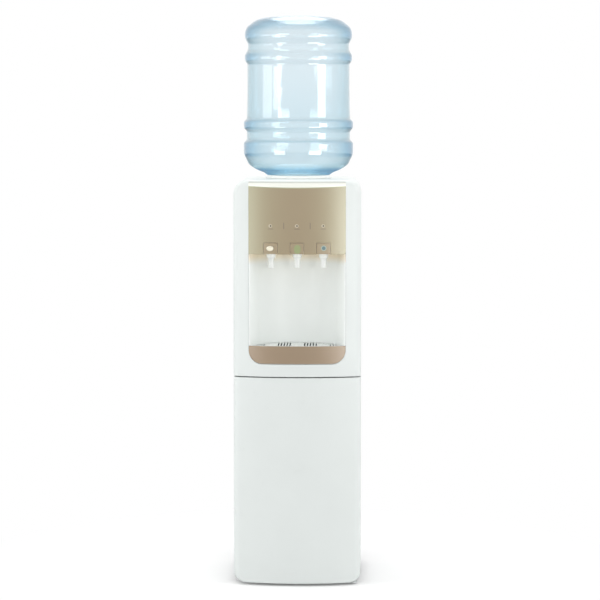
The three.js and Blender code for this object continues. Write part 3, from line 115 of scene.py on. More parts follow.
class Bench:
    """Modelling moves that the pieces share."""

    START_RADIUS = 0.1
    MERGE = 2e-6
    SHARP = math.radians(50.0)

    @staticmethod
    def clear() -> None:
        """Leaves edit mode and deselects everything."""
        if bpy.context.object and bpy.context.object.mode != "OBJECT":
            bpy.ops.object.mode_set(mode="OBJECT")
        bpy.ops.object.select_all(action="DESELECT")

    @staticmethod
    def take(obj: Piece) -> None:
        """Selects one object alone and makes it active.

        Args:
            obj: The object.
        """
        Bench.clear()
        obj.select_set(True)
        bpy.context.view_layer.objects.active = obj

    @staticmethod
    def open(obj: Piece) -> None:
        """Opens a piece in edit mode, all of it selected.

        Args:
            obj: The piece.
        """
        Bench.take(obj)
        bpy.ops.object.mode_set(mode="EDIT")
        bpy.ops.mesh.select_all(action="SELECT")

    @staticmethod
    def named(name: str) -> Piece:
        """Names the object that an operator has just added.

        Args:
            name: The name.

        Returns:
            The object.
        """
        obj = bpy.context.object
        obj.name = obj.data.name = name
        return obj

    @staticmethod
    def tidied(obj: Piece) -> Piece:
        """Merges a piece's doubles and turns its faces outwards.

        Args:
            obj: The piece.

        Returns:
            The piece.
        """
        Bench.open(obj)
        bpy.ops.mesh.remove_doubles(threshold=Bench.MERGE)
        bpy.ops.mesh.normals_make_consistent(inside=False)
        bpy.ops.object.mode_set(mode="OBJECT")
        return obj

    @staticmethod
    def modified(obj: Piece, kind: str, **settings: object) -> Piece:
        """Gives a piece a modifier and applies it.

        Args:
            obj: The piece.
            kind: Type of the modifier.
            settings: Settings of the modifier.

        Returns:
            The piece.
        """
        Bench.take(obj)
        bpy.ops.object.modifier_add(type=kind)
        modifier = obj.modifiers[-1]
        for key, value in settings.items():
            setattr(modifier, key, value)
        bpy.ops.object.modifier_apply(modifier=modifier.name)
        return obj

    @staticmethod
    def ring(name: str, points: Sequence[Place]) -> Piece:
        """Adds a circle and draws its corners onto an outline.

        Args:
            name: Name of the new object.
            points: Corners of the outline, in order.

        Returns:
            The wire outline, all selected, in edit mode.
        """
        Bench.clear()
        bpy.ops.mesh.primitive_circle_add(
            vertices=len(points), radius=Bench.START_RADIUS, fill_type="NOTHING"
        )
        obj = Bench.named(name)
        for corner, point in zip(obj.data.vertices, points, strict=True):
            corner.co = point
        bpy.ops.object.mode_set(mode="EDIT")
        bpy.ops.mesh.select_all(action="SELECT")
        return obj

    @staticmethod
    def loft(name: str, rings: Sequence[Sequence[Place]]) -> Piece:
        """Extrudes a ring through others with as many corners, and closes both ends.

        Args:
            name: Name of the new object.
            rings: The outlines that the skin passes through, in order.

        Returns:
            The closed solid.
        """
        obj = Bench.ring(name, rings[0])
        loop = list(range(len(rings[0])))
        for ring in rings[1:]:
            bpy.ops.mesh.extrude_edges_move()
            mesh = bmesh.from_edit_mesh(obj.data)
            mesh.verts.index_update()
            mesh.verts.ensure_lookup_table()
            loop = [Bench.mate(mesh.verts[index]) for index in loop]
            for index, point in zip(loop, ring, strict=True):
                mesh.verts[index].co = point
            bmesh.update_edit_mesh(obj.data)
        bpy.ops.mesh.edge_face_add()
        bpy.ops.mesh.select_all(action="DESELECT")
        mesh = bmesh.from_edit_mesh(obj.data)
        mesh.verts.ensure_lookup_table()
        for index in range(len(rings[0])):
            mesh.verts[index].select = True
        mesh.select_flush(True)
        bpy.ops.mesh.edge_face_add()
        bpy.ops.object.mode_set(mode="OBJECT")
        return Bench.tidied(obj)

    @staticmethod
    def mate(corner: bmesh.types.BMVert) -> int:
        """Index of the corner that an extrusion has just drawn out of this one."""
        others = (edge.other_vert(corner) for edge in corner.link_edges)
        return next(other.index for other in others if other.select)

    @staticmethod
    def run(name: str, outline: Sequence[Point], axis: Axis, low: float, high: float) -> Piece:
        """Extrudes a closed outline straight along an axis."""
        rings = [[axis.place(*point, level) for point in outline] for level in (low, high)]
        return Bench.loft(name, rings)

    @staticmethod
    def turned(
        name: str,
        profile: Sequence[Point],
        steps: int,
        axis: Axis = Axis.Z,
        centre: Point = (0.0, 0.0),
    ) -> Piece:
        """Spins a closed profile all the way round.

        Args:
            name: Name of the new object.
            profile: Pairs of a radius and a place along the axis.
            steps: Number of sides.
            axis: Axis that it turns about.
            centre: Where the axis crosses the plane that it stands on.

        Returns:
            The closed round solid.
        """
        Bench.ring(name, [axis.place(centre[0] + out, centre[1], along) for out, along in profile])
        pole, way = axis.place(*centre, 0.0), axis.place(0.0, 0.0, 1.0)
        bpy.ops.mesh.spin(steps=steps, angle=TURN, center=pole, axis=way)
        bpy.ops.object.mode_set(mode="OBJECT")
        return Bench.tidied(bpy.context.object)

    @staticmethod
    def rod(
        name: str,
        radius: float,
        ends: Point,
        steps: int,
        axis: Axis = Axis.Z,
        centre: Point = (0.0, 0.0),
        round_by: float = 0.0,
    ) -> Piece:
        """Turns a plain rod, to add or to cut a hole with.

        Args:
            name: Name of the new object.
            radius: Its radius.
            ends: Where it starts and stops along the axis.
            steps: Number of sides.
            axis: Axis that it lies along.
            centre: Where the axis crosses the plane that it stands on.
            round_by: How far its edges are cut back, if they are rounded.

        Returns:
            The rod.
        """
        low, high = ends
        profile = [(0.0, low), (radius, low), (radius, high), (0.0, high)]
        if round_by:
            profile = eased(profile, round_by, 2)
        return Bench.turned(name, profile, steps, axis, centre)

    @staticmethod
    def block(name: str, x: Point, y: Point, z: Point, round_by: float = 0.0) -> Piece:
        """Adds a box between limits.

        Args:
            name: Name of the new object.
            x: Its limits across.
            y: Its limits in depth.
            z: Its limits in height.
            round_by: Radius of its edges, if they are rounded.

        Returns:
            The box.
        """
        Bench.clear()
        middle = [(low + high) / 2 for low, high in (x, y, z)]
        bpy.ops.mesh.primitive_cube_add(size=1.0, location=middle)
        obj = Bench.named(name)
        obj.scale = [high - low for low, high in (x, y, z)]
        bpy.ops.object.transform_apply(location=True, rotation=True, scale=True)
        return Bench.rounded(obj, round_by) if round_by else obj

    @staticmethod
    def tube(name: str, points: Sequence[Place], radius: float, detail: int) -> Piece:
        """Draws a round tube along a line.

        Args:
            name: Name of the new object.
            points: Points of the line.
            radius: Radius of the tube.
            detail: Fineness of its round, 0 for the plainest.

        Returns:
            The tube, closed at both ends.
        """
        Bench.clear()
        curve = bpy.data.curves.new(name, "CURVE")
        curve.dimensions = "3D"
        curve.bevel_depth = radius
        curve.bevel_resolution = detail
        curve.use_fill_caps = True
        spline = curve.splines.new("POLY")
        spline.points.add(len(points) - 1)
        for knot, point in zip(spline.points, points, strict=True):
            knot.co = (*point, 1.0)
        obj = bpy.data.objects.new(name, curve)
        bpy.context.scene.collection.objects.link(obj)
        Bench.take(obj)
        bpy.ops.object.convert(target="MESH")
        return Bench.tidied(bpy.context.object)

    @staticmethod
    def copied(node: str, name: str, flat: float = 1.0) -> Piece:
        """Copies a CAD node, merges its corners and clears the lines on its flat faces.

        Args:
            node: Name of the CAD node.
            name: Name of the copy.
            flat: Angle in degrees under which two faces are one.

        Returns:
            The merged copy, in place.
        """
        obj = bpy.data.objects.new(name, bpy.data.objects[node].data.copy())
        obj.data.name = name
        bpy.context.scene.collection.objects.link(obj)
        Bench.tidied(obj)
        bpy.ops.object.mode_set(mode="EDIT")
        bpy.ops.mesh.dissolve_limited(angle_limit=math.radians(flat))
        bpy.ops.object.mode_set(mode="OBJECT")
        return obj

    @staticmethod
    def carve(obj: Piece, tool: Piece, mode: Carve = Carve.CUT) -> Piece:
        """Cuts, keeps or adds one solid with another, which is used up.

        Args:
            obj: The solid.
            tool: The other solid.
            mode: What is done with it.

        Returns:
            The first solid.
        """
        Bench.modified(obj, "BOOLEAN", operation=mode.value, solver="EXACT", object=tool)
        bpy.data.objects.remove(tool)
        return obj

    @staticmethod
    def rounded(obj: Piece, width: float, segments: int = 3) -> Piece:
        """Rounds the sharp edges of a piece.

        Args:
            obj: The piece.
            width: Width of the rounded edges.
            segments: Faces across each of them.

        Returns:
            The piece.
        """
        limits = {"limit_method": "ANGLE", "angle_limit": Bench.SHARP, "harden_normals": False}
        return Bench.modified(obj, "BEVEL", width=width, segments=segments, **limits)

    @staticmethod
    def scored(obj: Piece, axis: Axis, levels: Iterable[float]) -> None:
        """Cuts lines round a piece, so that what is cut out later stays local.

        Args:
            obj: The piece.
            axis: Axis that the lines lie across.
            levels: Places of the lines along the axis.
        """
        Bench.open(obj)
        for level in levels:
            bpy.ops.mesh.select_all(action="SELECT")
            spot, way = axis.place(0.0, 0.0, level), axis.place(0.0, 0.0, 1.0)
            bpy.ops.mesh.bisect(plane_co=spot, plane_no=way)
        bpy.ops.object.mode_set(mode="OBJECT")

    @staticmethod
    def joined(name: str, parts: Sequence[Piece]) -> Piece:
        """Makes one object of several.

        Args:
            name: Name of the one object.
            parts: The objects.

        Returns:
            The one object.
        """
        Bench.take(parts[0])
        for part in parts[1:]:
            part.select_set(True)
        bpy.ops.object.join()
        return Bench.named(name)

    @staticmethod
    def smooth(obj: Piece, degrees: float) -> None:
        """Shades a piece smooth, its wide faces first.

        Args:
            obj: The piece.
            degrees: Angle under which two faces are shaded as one.
        """
        Bench.take(obj)
        bpy.ops.object.shade_smooth_by_angle(angle=math.radians(degrees))
        Bench.modified(obj, "WEIGHTED_NORMAL", keep_sharp=True)


def arc(
    x: float, y: float, radius: float, start: float, end: float, steps: int
) -> list[Point]:
    """Points of a circular arc.

    Args:
        x: Middle of the circle across.
        y: Middle of the circle up.
        radius: Radius of the circle.
        start: Angle in radians where it starts.
        end: Angle in radians where it ends.
        steps: Number of short lines in it.

    Returns:
        The points, both ends included.
    """
    turns = [start + (end - start) * i / steps for i in range(steps + 1)]
    return [(x + radius * math.cos(turn), y + radius * math.sin(turn)) for turn in turns]


def curve(start: Vector, pull: Vector, end: Vector, steps: int) -> list[Point]:
    """Points of a curve that is drawn towards a place beside it.

    Args:
        start: Where it starts.
        pull: The place that it is drawn towards.
        end: Where it ends.
        steps: Number of short lines in it.

    Returns:
        The points, both ends included.
    """
    shares = [k / steps for k in range(steps + 1)]
    spots = [start * (1 - t) ** 2 + pull * 2 * t * (1 - t) + end * t**2 for t in shares]
    return [(spot.x, spot.y) for spot in spots]


def eased(points: Sequence[Point], radius: float, steps: int = 4) -> list[Point]:
    """Rounds each corner of a closed outline.

    Args:
        points: Corners of the outline.
        radius: Most that a corner is cut back along either side.
        steps: Number of short lines in each rounded corner.

    Returns:
        The outline with its corners rounded.
    """
    smooth: list[Point] = []
    for i, corner in enumerate(points):
        here = Vector(corner)
        before = Vector(points[i - 1]) - here
        after = Vector(points[(i + 1) % len(points)]) - here
        if before.length < Bench.MERGE or after.length < Bench.MERGE:
            continue
        reach = min(radius, before.length * 0.45, after.length * 0.45)
        start, end = here + before.normalized() * reach, here + after.normalized() * reach
        smooth += curve(start, here, end, steps)
    return smooth


# ---------------------------------------------------------------- shader tools


class Term:
    """A socket of a shader, with the operators of arithmetic."""

    def __init__(self, board: Board, socket: bpy.types.NodeSocket) -> None:
        """Holds the socket and the board that its nodes go on."""
        self.board = board
        self.socket = socket

    def maths(self, operation: str, *values: Term | float) -> Term:
        """Adds a Math node."""
        sockets = dict(enumerate(values))
        return self.board.node("ShaderNodeMath", {"operation": operation}, sockets)

    def __add__(self, other: Term | float) -> Term:
        """Sum."""
        return self.maths("ADD", self, other)

    __radd__ = __add__

    def __sub__(self, other: Term | float) -> Term:
        """Difference."""
        return self.maths("SUBTRACT", self, other)

    def __rsub__(self, other: float) -> Term:
        """Difference from a number."""
        return self.maths("SUBTRACT", other, self)

    def __mul__(self, other: Term | float) -> Term:
        """Product."""
        return self.maths("MULTIPLY", self, other)

    __rmul__ = __mul__

    def __truediv__(self, other: Term | float) -> Term:
        """Quotient."""
        return self.maths("DIVIDE", self, other)

    def __pow__(self, other: Term | float) -> Term:
        """Power."""
        return self.maths("POWER", self, other)

    def __abs__(self) -> Term:
        """Size without its sign."""
        return self.maths("ABSOLUTE", self)

    def most(self, other: Term | float) -> Term:
        """The larger of two."""
        return self.maths("MAXIMUM", self, other)

    def step(self, low: float, high: float) -> Term:
        """Rises smoothly from 0 to 1.

        Args:
            low: Value of this term where the rise starts.
            high: Value where it ends.

        Returns:
            The rise as a term.
        """
        sockets = {"Value": self, "From Min": low, "From Max": high}
        settings = {"interpolation_type": "SMOOTHSTEP"}
        return self.board.node("ShaderNodeMapRange", settings, sockets)


class Board:
    """A material, or the world, and the nodes on it."""

    def __init__(self, name: str, world: bool = False) -> None:
        """Makes an empty material or world with an output."""
        self.owner = (bpy.data.worlds if world else bpy.data.materials).new(name)
        self.owner.use_nodes = True
        self.tree = self.owner.node_tree
        self.tree.nodes.clear()
        output = "ShaderNodeOutputWorld" if world else "ShaderNodeOutputMaterial"
        self.output = self.tree.nodes.new(output)
        self.axes: dict[str, Term] = {}

    def node(
        self,
        kind: str,
        settings: dict[str, object] | None = None,
        sockets: dict[str | int, object] | None = None,
        out: str | int = 0,
    ) -> Term:
        """Adds a node.

        Args:
            kind: Type of the node.
            settings: Its settings, set first.
            sockets: Values or links of its input sockets, by name or place.
            out: Output socket to hand back.

        Returns:
            The output socket as a term.
        """
        node = self.tree.nodes.new(kind)
        for key, value in (settings or {}).items():
            setattr(node, key, value)
        for key, value in (sockets or {}).items():
            self.feed(node.inputs[key], value)
        return Term(self, node.outputs[out])

    def feed(self, socket: bpy.types.NodeSocket, value: object) -> None:
        """Links a term to a socket, or sets the socket's own value.

        Args:
            socket: The input socket.
            value: The term, number or colour.
        """
        if isinstance(value, Term):
            self.tree.links.new(value.socket, socket)
        elif isinstance(value, tuple) and len(value) == 3 and socket.type == "RGBA":
            socket.default_value = (*value, 1.0)
        else:
            socket.default_value = value

    def axis(self, letter: str) -> Term:
        """One of the object coordinates, by its letter.

        Args:
            letter: X, Y or Z.

        Returns:
            The coordinate.
        """
        if letter not in self.axes:
            kind = "ShaderNodeSeparateXYZ"
            self.axes[letter] = self.node(kind, sockets={0: self.place}, out=letter)
        return self.axes[letter]

    @cached_property
    def place(self) -> Term:
        """Object coordinates.

        Returns:
            The coordinates as a term.
        """
        return self.node("ShaderNodeTexCoord", out="Object")

    def noise(self, scale: float, detail: float = 2.0, stretch: Place | None = None) -> Term:
        """Adds soft noise.

        Args:
            scale: Grains to a metre.
            detail: How many finer layers it has.
            stretch: Shares that its grain is multiplied by along the axes, if any.

        Returns:
            The noise, 0 to 1.
        """
        vector = self.place
        if stretch:
            vector = self.node("ShaderNodeMapping", sockets={"Vector": vector, "Scale": stretch})
        sockets = {"Vector": vector, "Scale": scale, "Detail": detail}
        return self.node("ShaderNodeTexNoise", sockets=sockets)

    def cells(self, scale: float, out: str = "Distance") -> Term:
        """Cells of random size, as in spangle or flake."""
        sockets = {"Vector": self.place, "Scale": scale}
        return self.node("ShaderNodeTexVoronoi", sockets=sockets, out=out)

    def flakes(self, scale: float) -> Term:
        """Cells that each have a random value."""
        flake = self.cells(scale, "Color")
        return self.node("ShaderNodeSeparateColor", sockets={0: flake}, out="Red")

    def blend(self, share: Term, first: Term | Colour, second: Term | Colour) -> Term:
        """Mix of two colours."""
        sockets = {0: share, 6: first, 7: second}
        return self.node("ShaderNodeMix", {"data_type": "RGBA"}, sockets, out=2)

    def mottled(self, share: Term, colour: Colour, spread: float) -> Term:
        """A colour from a little darker to a little lighter, by a share."""
        return self.blend(share, shade(colour, 1.0 - spread), shade(colour, 1.0 + spread))

    def bump(self, height: Term, strength: float, distance: float) -> Term:
        """Normal that a height gives."""
        sockets = {"Height": height, "Strength": strength, "Distance": distance}
        return self.node("ShaderNodeBump", sockets=sockets)

    def seen_by(self, *rays: str) -> Term:
        """1 for some kinds of ray and 0 for the others.

        Args:
            rays: Names of the kinds, as in the Light Path node.

        Returns:
            The mask.
        """
        first, *others = (self.node("ShaderNodeLightPath", out=f"Is {ray} Ray") for ray in rays)
        for other in others:
            first = first.most(other)
        return first

    def mixed(self, share: Term, first: Term, second: Term) -> Term:
        """Mix of two shaders."""
        return self.node("ShaderNodeMixShader", sockets={0: share, 1: first, 2: second})

    def clear(self, colour: Colour) -> Term:
        """Shader that lets light through, tinted by a colour."""
        return self.node("ShaderNodeBsdfTransparent", sockets={"Color": colour})

    def shader(self, **sockets: object) -> Term:
        """Principled shader, the spaces in its sockets' names written as low lines."""
        named = {key.replace("_", " "): value for key, value in sockets.items()}
        return self.node("ShaderNodeBsdfPrincipled", sockets=named)

    def close(self, shader: Term) -> Material:
        """Finishes the material with a shader."""
        self.tree.links.new(shader.socket, self.output.inputs["Surface"])
        return self.owner

    def surface(self, **sockets: object) -> Material:
        """Finishes the material with one Principled shader."""
        return self.close(self.shader(**sockets))

    def patch(self, spot: Spot) -> Term:
        """Mask of a mark seen from the front, 1 inside it and 0 outside it.

        Args:
            spot: The mark.

        Returns:
            The mask.
        """
        across = abs((self.axis("X") - spot.x) / spot.half_x) ** spot.power
        up = abs((self.axis("Z") - spot.z) / spot.half_z) ** spot.power
        return 1.0 - (across + up).step(0.8, 1.2)


# ---------------------------------------------------------------- finishes


def shade(colour: Colour, share: float) -> Colour:
    """A colour made darker or lighter by a share."""
    return tuple(min(1.0, channel * share) for channel in colour)


@dataclass(frozen=True)
class Moulding:
    """Moulded plastic or rubber: faint mottle, fine grain, uneven gloss, and if given a painted
    warm reflection towards the top.
    """

    name: str
    colour: Colour
    roughness: float = 0.3
    coat: float = 0.0
    grain: float = 0.08
    grain_scale: float = 900.0
    mottle: float = 0.03
    through: float = 0.0
    specular: float = 0.5
    # Colour of a painted warm reflection, and the levels over which it is blended in.
    painted_reflection: Colour | None = None
    painted_reflection_from: Point = (0.786, 0.812)

    def make(self) -> Material:
        """Builds the material.

        Returns:
            The material.
        """
        board = Board(self.name)
        fine = board.noise(self.grain_scale)
        colour = board.mottled(board.noise(9.0, 3.0), self.colour, self.mottle)
        # Painted warm reflection of the gilt panel, blended in towards the top.
        if self.painted_reflection:
            colour = board.blend(board.axis("Z").step(*self.painted_reflection_from), colour, self.painted_reflection)
        gloss = board.noise(26.0, 4.0)
        return board.surface(
            Base_Color=colour,
            Roughness=self.roughness + (gloss - 0.5) * 0.12 + (fine - 0.5) * 0.06,
            Specular_IOR_Level=self.specular,
            Coat_Weight=self.coat,
            Coat_Roughness=0.08,
            Subsurface_Weight=self.through,
            Subsurface_Radius=(0.004, 0.004, 0.004),
            Normal=board.bump(fine, self.grain, 0.0004),
        )


@dataclass(frozen=True)
class Spot:
    """A printed or engraved mark: an oval at power 2, squarer above it."""

    x: float
    z: float
    half_x: float
    half_z: float
    colour: Colour
    strength: float = 1.0
    power: float = 2.0


@dataclass(frozen=True)
class PaintedLightBand:
    """Painted highlight band over a moulding, whose lower edge rises towards its ends, with a
    painted shadow line under it, a painted shade line at its top seam and painted reflections
    lightening its ends.
    """

    level: float
    rise: float
    half: float
    colour: Colour
    edge: Colour
    seam: Colour
    ends: Colour
    edge_width: float = 0.003
    highlight_edge_soft: Point = (-0.0004, 0.0006)
    seam_shade_from: Point = (0.0106, 0.0114)


@dataclass(frozen=True)
class Gilt:
    """Champagne metallic lacquer over moulded plastic, with its small marks and, if given, a
    painted highlight band.
    """

    name: str
    colour: Colour
    roughness: float = 0.42
    metallic: float = 0.2
    spots: tuple[Spot, ...] = ()
    crown: PaintedLightBand | None = None

    def make(self) -> Material:
        """Builds the material.

        Returns:
            The material.
        """
        board = Board(self.name)
        sparkle, broad = board.flakes(5200.0), board.noise(7.0, 3.0)
        colour = board.mottled(broad, self.colour, 0.04)
        colour = board.blend(sparkle * 0.22, colour, shade(self.colour, 1.3))
        cover: Term | None = None
        for spot in self.spots:
            mask = board.patch(spot) * spot.strength
            colour = board.blend(mask, colour, spot.colour)
            cover = mask.most(cover) if cover else mask
        bare = 1.0 - cover if cover else 1.0
        # Painted light: ends painted lighter as reflections, a pale painted highlight band on the
        # rolled top, a painted shadow line below it and a painted shade line at the top seam.
        if self.crown:
            crown = self.crown
            aside = abs(board.axis("X") / crown.half) ** 2.0
            colour = board.blend(aside * bare, colour, crown.ends)
            height = board.axis("Z") - crown.level
            level = height - aside * crown.rise
            colour = board.blend(level.step(-crown.edge_width, 0.0), colour, crown.edge)
            colour = board.blend(level.step(*crown.highlight_edge_soft), colour, crown.colour)
            colour = board.blend(height.step(*crown.seam_shade_from), colour, crown.seam)
        return board.surface(
            Base_Color=colour,
            Metallic=self.metallic * bare,
            Roughness=self.roughness + (sparkle - 0.5) * 0.1 + (broad - 0.5) * 0.05,
            Coat_Weight=1.0,
            Coat_IOR=2.0,
            Coat_Roughness=0.3,
            Normal=board.bump(board.noise(1600.0), 0.05, 0.0003),
        )


@dataclass(frozen=True)
class ClearShell:
    """Clear tinted plastic wall, as of a water bottle: deeper and shinier at a slant.

    The wall is palest at its top, deepest at a slant on its bulges, and dull on its dome.
    """

    name: str
    colour: Colour
    pale: Colour
    deep: Colour
    deepest: Colour
    bulges: tuple[Point, ...]
    shadow: Colour = (0.99, 0.992, 0.991)
    soft: float = 0.004
    roughness: float = 0.05
    dull: float = 0.14
    sheen: float = 0.08
    sheen_least: float = 0.3
    sheen_from: Point = (1.018, 1.045)
    pale_from: Point = (1.1, 1.3)
    dome_from: Point = (1.364, 1.38)

    def make(self) -> Material:
        """Builds the material.

        Returns:
            The material.
        """
        board = Board(self.name)
        ripple = board.noise(22.0, 2.0, (1.0, 1.0, 0.3))
        slant = board.node("ShaderNodeLayerWeight", sockets={"Blend": 0.5}, out="Facing")
        height, soft = board.axis("Z"), self.soft
        bulge: Term | float = 0.0
        for low, high in self.bulges:
            below = height.step(high - soft, high + soft)
            bulge = bulge + height.step(low - soft, low + soft) * (1.0 - below)
        thin = board.mixed(
            height.step(*self.pale_from), board.clear(self.colour), board.clear(self.pale)
        )
        dark = board.mixed(bulge, board.clear(self.deep), board.clear(self.deepest))
        tinted = board.mixed(slant**2.0 + (ripple - 0.5) * 0.05, thin, dark)
        gloss = board.shader(
            Base_Color=WHITE,
            Metallic=1.0,
            Roughness=self.roughness + ripple * 0.05 + height.step(*self.dome_from) * self.dull,
            Normal=board.bump(ripple, 0.05, 0.002),
        )
        risen = self.sheen_least + (1.0 - self.sheen_least) * height.step(*self.sheen_from)
        wall = board.mixed((self.sheen + slant**4.0 * 0.85) * risen, tinted, gloss)
        unseen = board.seen_by("Shadow", "Diffuse")
        return board.close(board.mixed(unseen, wall, board.clear(self.shadow)))


class Metal(Enum):
    """Patterns of sheet and bar metal."""

    COAT = "powder coat"
    SPANGLE = "zinc spangle"
    DRAWN = "drawn lines"
    ENAMEL = "black enamel"


@dataclass(frozen=True)
class SheetMetal:
    """Coated, zinc-plated or drawn metal."""

    name: str
    colour: Colour
    pattern: Metal
    roughness: float = 0.4
    metallic: float = 0.9

    def make(self) -> Material:
        """Builds the material.

        Returns:
            The material.
        """
        board = Board(self.name)
        broad = board.noise(12.0, 3.0)
        if self.pattern is Metal.SPANGLE:
            grain = board.flakes(130.0)
            strength, distance, spread = 0.05, 0.0002, 0.16
        elif self.pattern is Metal.DRAWN:
            grain = board.noise(900.0, 2.0, (1.0, 1.0, 0.02))
            strength, distance, spread = 0.12, 0.0002, 0.12
        else:
            grain = board.noise(1500.0, 3.0)
            strength, distance, spread = 0.14, 0.0003, 0.05
        return board.surface(
            Base_Color=board.mottled(grain * 0.7 + broad * 0.3, self.colour, spread),
            Metallic=self.metallic,
            Roughness=self.roughness + (grain - 0.5) * spread + (broad - 0.5) * 0.08,
            Normal=board.bump(grain, strength, distance),
        )


@dataclass(frozen=True)
class Copper:
    """Drawn copper tube with a darker bloom."""

    name: str
    colour: Colour
    bloom: Colour

    def make(self) -> Material:
        """Builds the material.

        Returns:
            The material.
        """
        board = Board(self.name)
        stain = board.noise(34.0, 4.0).step(0.42, 0.72)
        lines = board.noise(700.0, 2.0)
        return board.surface(
            Base_Color=board.blend(stain * 0.6, self.colour, self.bloom),
            Metallic=0.95,
            Roughness=0.28 + stain * 0.22 + (lines - 0.5) * 0.1,
            Normal=board.bump(lines, 0.06, 0.0002),
        )


@dataclass(frozen=True)
class Foam:
    """Cut insulating foam with open cells."""

    name: str
    colour: Colour

    def make(self) -> Material:
        """Builds the material.

        Returns:
            The material.
        """
        board = Board(self.name)
        cells = board.cells(420.0)
        broad = board.noise(40.0, 3.0)
        return board.surface(
            Base_Color=board.blend(cells, shade(self.colour, 0.86), self.colour),
            Roughness=0.92 - broad * 0.06,
            Normal=board.bump(cells + broad * 0.5, 0.5, 0.0012),
        )


@dataclass(frozen=True)
class Circuit:
    """Green board with copper tracks under the mask."""

    name: str
    colour: Colour
    track: Colour

    def make(self) -> Material:
        """Builds the material.

        Returns:
            The material.
        """
        board = Board(self.name)
        lines = board.node(
            "ShaderNodeTexWave",
            {"bands_direction": "Z"},
            {"Vector": board.place, "Scale": 190.0, "Distortion": 6.0, "Detail": 1.0},
            out="Fac",
        ).step(0.62, 0.7)
        return board.surface(
            Base_Color=board.blend(lines, self.colour, self.track),
            Roughness=0.42 - lines * 0.1,
            Normal=board.bump(lines, 0.2, 0.0002),
        )


class Finishes:
    """The finishes of the dispenser, each made once."""

    def __init__(self) -> None:
        """Builds every material."""
        self.body = Moulding(
            "gloss_white", srgb(226, 231, 229), 0.3, coat=0.05, specular=0.22
        ).make()
        self.coat = SheetMetal(
            "white_coat", srgb(224, 228, 227), Metal.COAT, roughness=0.42, metallic=0.0
        ).make()
        # The liner's white is painted lighter than the body's to stand in for light inside the
        # recess, and its top takes a painted warm reflection of the gilt panel.
        self.liner = Moulding(
            "satin_white", srgb(241, 245, 243), 0.46, grain=0.05, painted_reflection=srgb(240, 229, 206)
        ).make()
        self.nozzle = Moulding("nozzle_white", srgb(236, 239, 236), 0.28, coat=0.2).make()
        self.inner = Moulding("inner_white", srgb(222, 227, 226), 0.45, grain=0.1).make()
        self.ivory = Moulding("ivory_button", srgb(244, 238, 216), 0.3, coat=0.3).make()
        self.cap = Moulding("blue_cap", srgb(78, 150, 200), 0.42, grain=0.12).make()
        self.rubber = Moulding("black_rubber", srgb(40, 42, 46), 0.8, grain=0.3).make()
        self.gasket = Moulding("grey_gasket", srgb(176, 180, 182), 0.62, grain=0.15).make()
        self.grey = Moulding("grey_plastic", srgb(158, 164, 166), 0.5, grain=0.22).make()
        self.black = Moulding("black_plastic", srgb(34, 35, 38), 0.42, grain=0.25).make()
        self.silicone = Moulding(
            "milky_silicone", srgb(232, 237, 238), 0.45, grain=0.05, through=0.3
        ).make()
        self.steel = SheetMetal("drawn_steel", srgb(196, 199, 202), Metal.DRAWN, 0.28, 1.0).make()
        self.zinc = SheetMetal("zinc_sheet", srgb(178, 183, 186), Metal.SPANGLE, 0.42, 0.85).make()
        self.enamel = SheetMetal("black_enamel", srgb(30, 31, 34), Metal.ENAMEL, 0.38, 0.1).make()
        self.copper = Copper("copper_tube", srgb(196, 124, 84), srgb(120, 72, 52)).make()
        self.foam = Foam("white_foam", srgb(240, 239, 232)).make()
        self.board = Circuit("green_board", srgb(30, 92, 62), srgb(72, 140, 88)).make()
        self.lens = Moulding("lamp_lens", srgb(70, 60, 46), 0.18, coat=0.4).make()
        # Grey painted on the tray's bowl stands in for the shade seen through the grille's slots.
        self.bowl = Moulding("tray_grey", srgb(150, 156, 158), 0.5, grain=0.1).make()
        self.bottle = ClearShell(
            "clear_blue",
            (0.885, 0.94, 0.963),
            (0.92, 0.958, 0.975),
            (0.655, 0.79, 0.835),
            (0.27, 0.56, 0.715),
            bulges=((0.95, 1.02), (1.05, 1.087), (1.119, 1.139), (1.287, 1.304), (1.342, 1.45)),
        ).make()


def place_piece(
    obj: Piece, shaded: float, material: Material, body: str, slot: str, *nodes: str
) -> None:
    """Smooths and dresses a finished piece and hands it to the frame.

    Args:
        obj: The piece.
        shaded: Angle in degrees under which its faces are shaded as one.
        material: Its finish.
        body: Body that it rides on.
        slot: Material slot of the record that its finish comes from; not used.
        nodes: CAD nodes that it stands for.
    """
    Bench.smooth(obj, shaded)
    Bench.clear()
    obj.data.materials.clear()
    obj.data.materials.append(material)
    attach(obj, body)
    if nodes:
        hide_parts(*nodes)
    LOG.info("%s rides on %s, %d faces", obj.name, body, len(obj.data.polygons))


def copy_piece(
    node: str,
    name: str,
    material: Material,
    slot: str,
    width: float,
    body: str = "cabinet",
    segments: int = 2,
    flat: float = 1.0,
) -> None:
    """Makes a piece of a CAD node by rounding its edges.

    Args:
        node: Name of the CAD node, which the piece stands for.
        name: Name of the piece.
        material: Its finish.
        slot: Material slot of the record that its finish comes from; handed to place_piece, which
            does not use it.
        width: Width of its rounded edges.
        body: Body that it rides on.
        segments: Faces across each rounded edge.
        flat: Angle in degrees under which two of the node's faces are one.
    """
    obj = Bench.rounded(Bench.copied(node, name, flat), width, segments)
    place_piece(obj, 34.0, material, body, slot, node)


def dress(material: Material, *nodes: str) -> None:
    """Gives CAD nodes that stay a better finish.

    Args:
        material: The finish.
        nodes: Names of the nodes.
    """
    for node in nodes:
        slots = bpy.data.objects[node].data.materials
        slots.clear()
        slots.append(material)
        LOG.info("%s keeps its shape", node)


# ---------------------------------------------------------------- the object


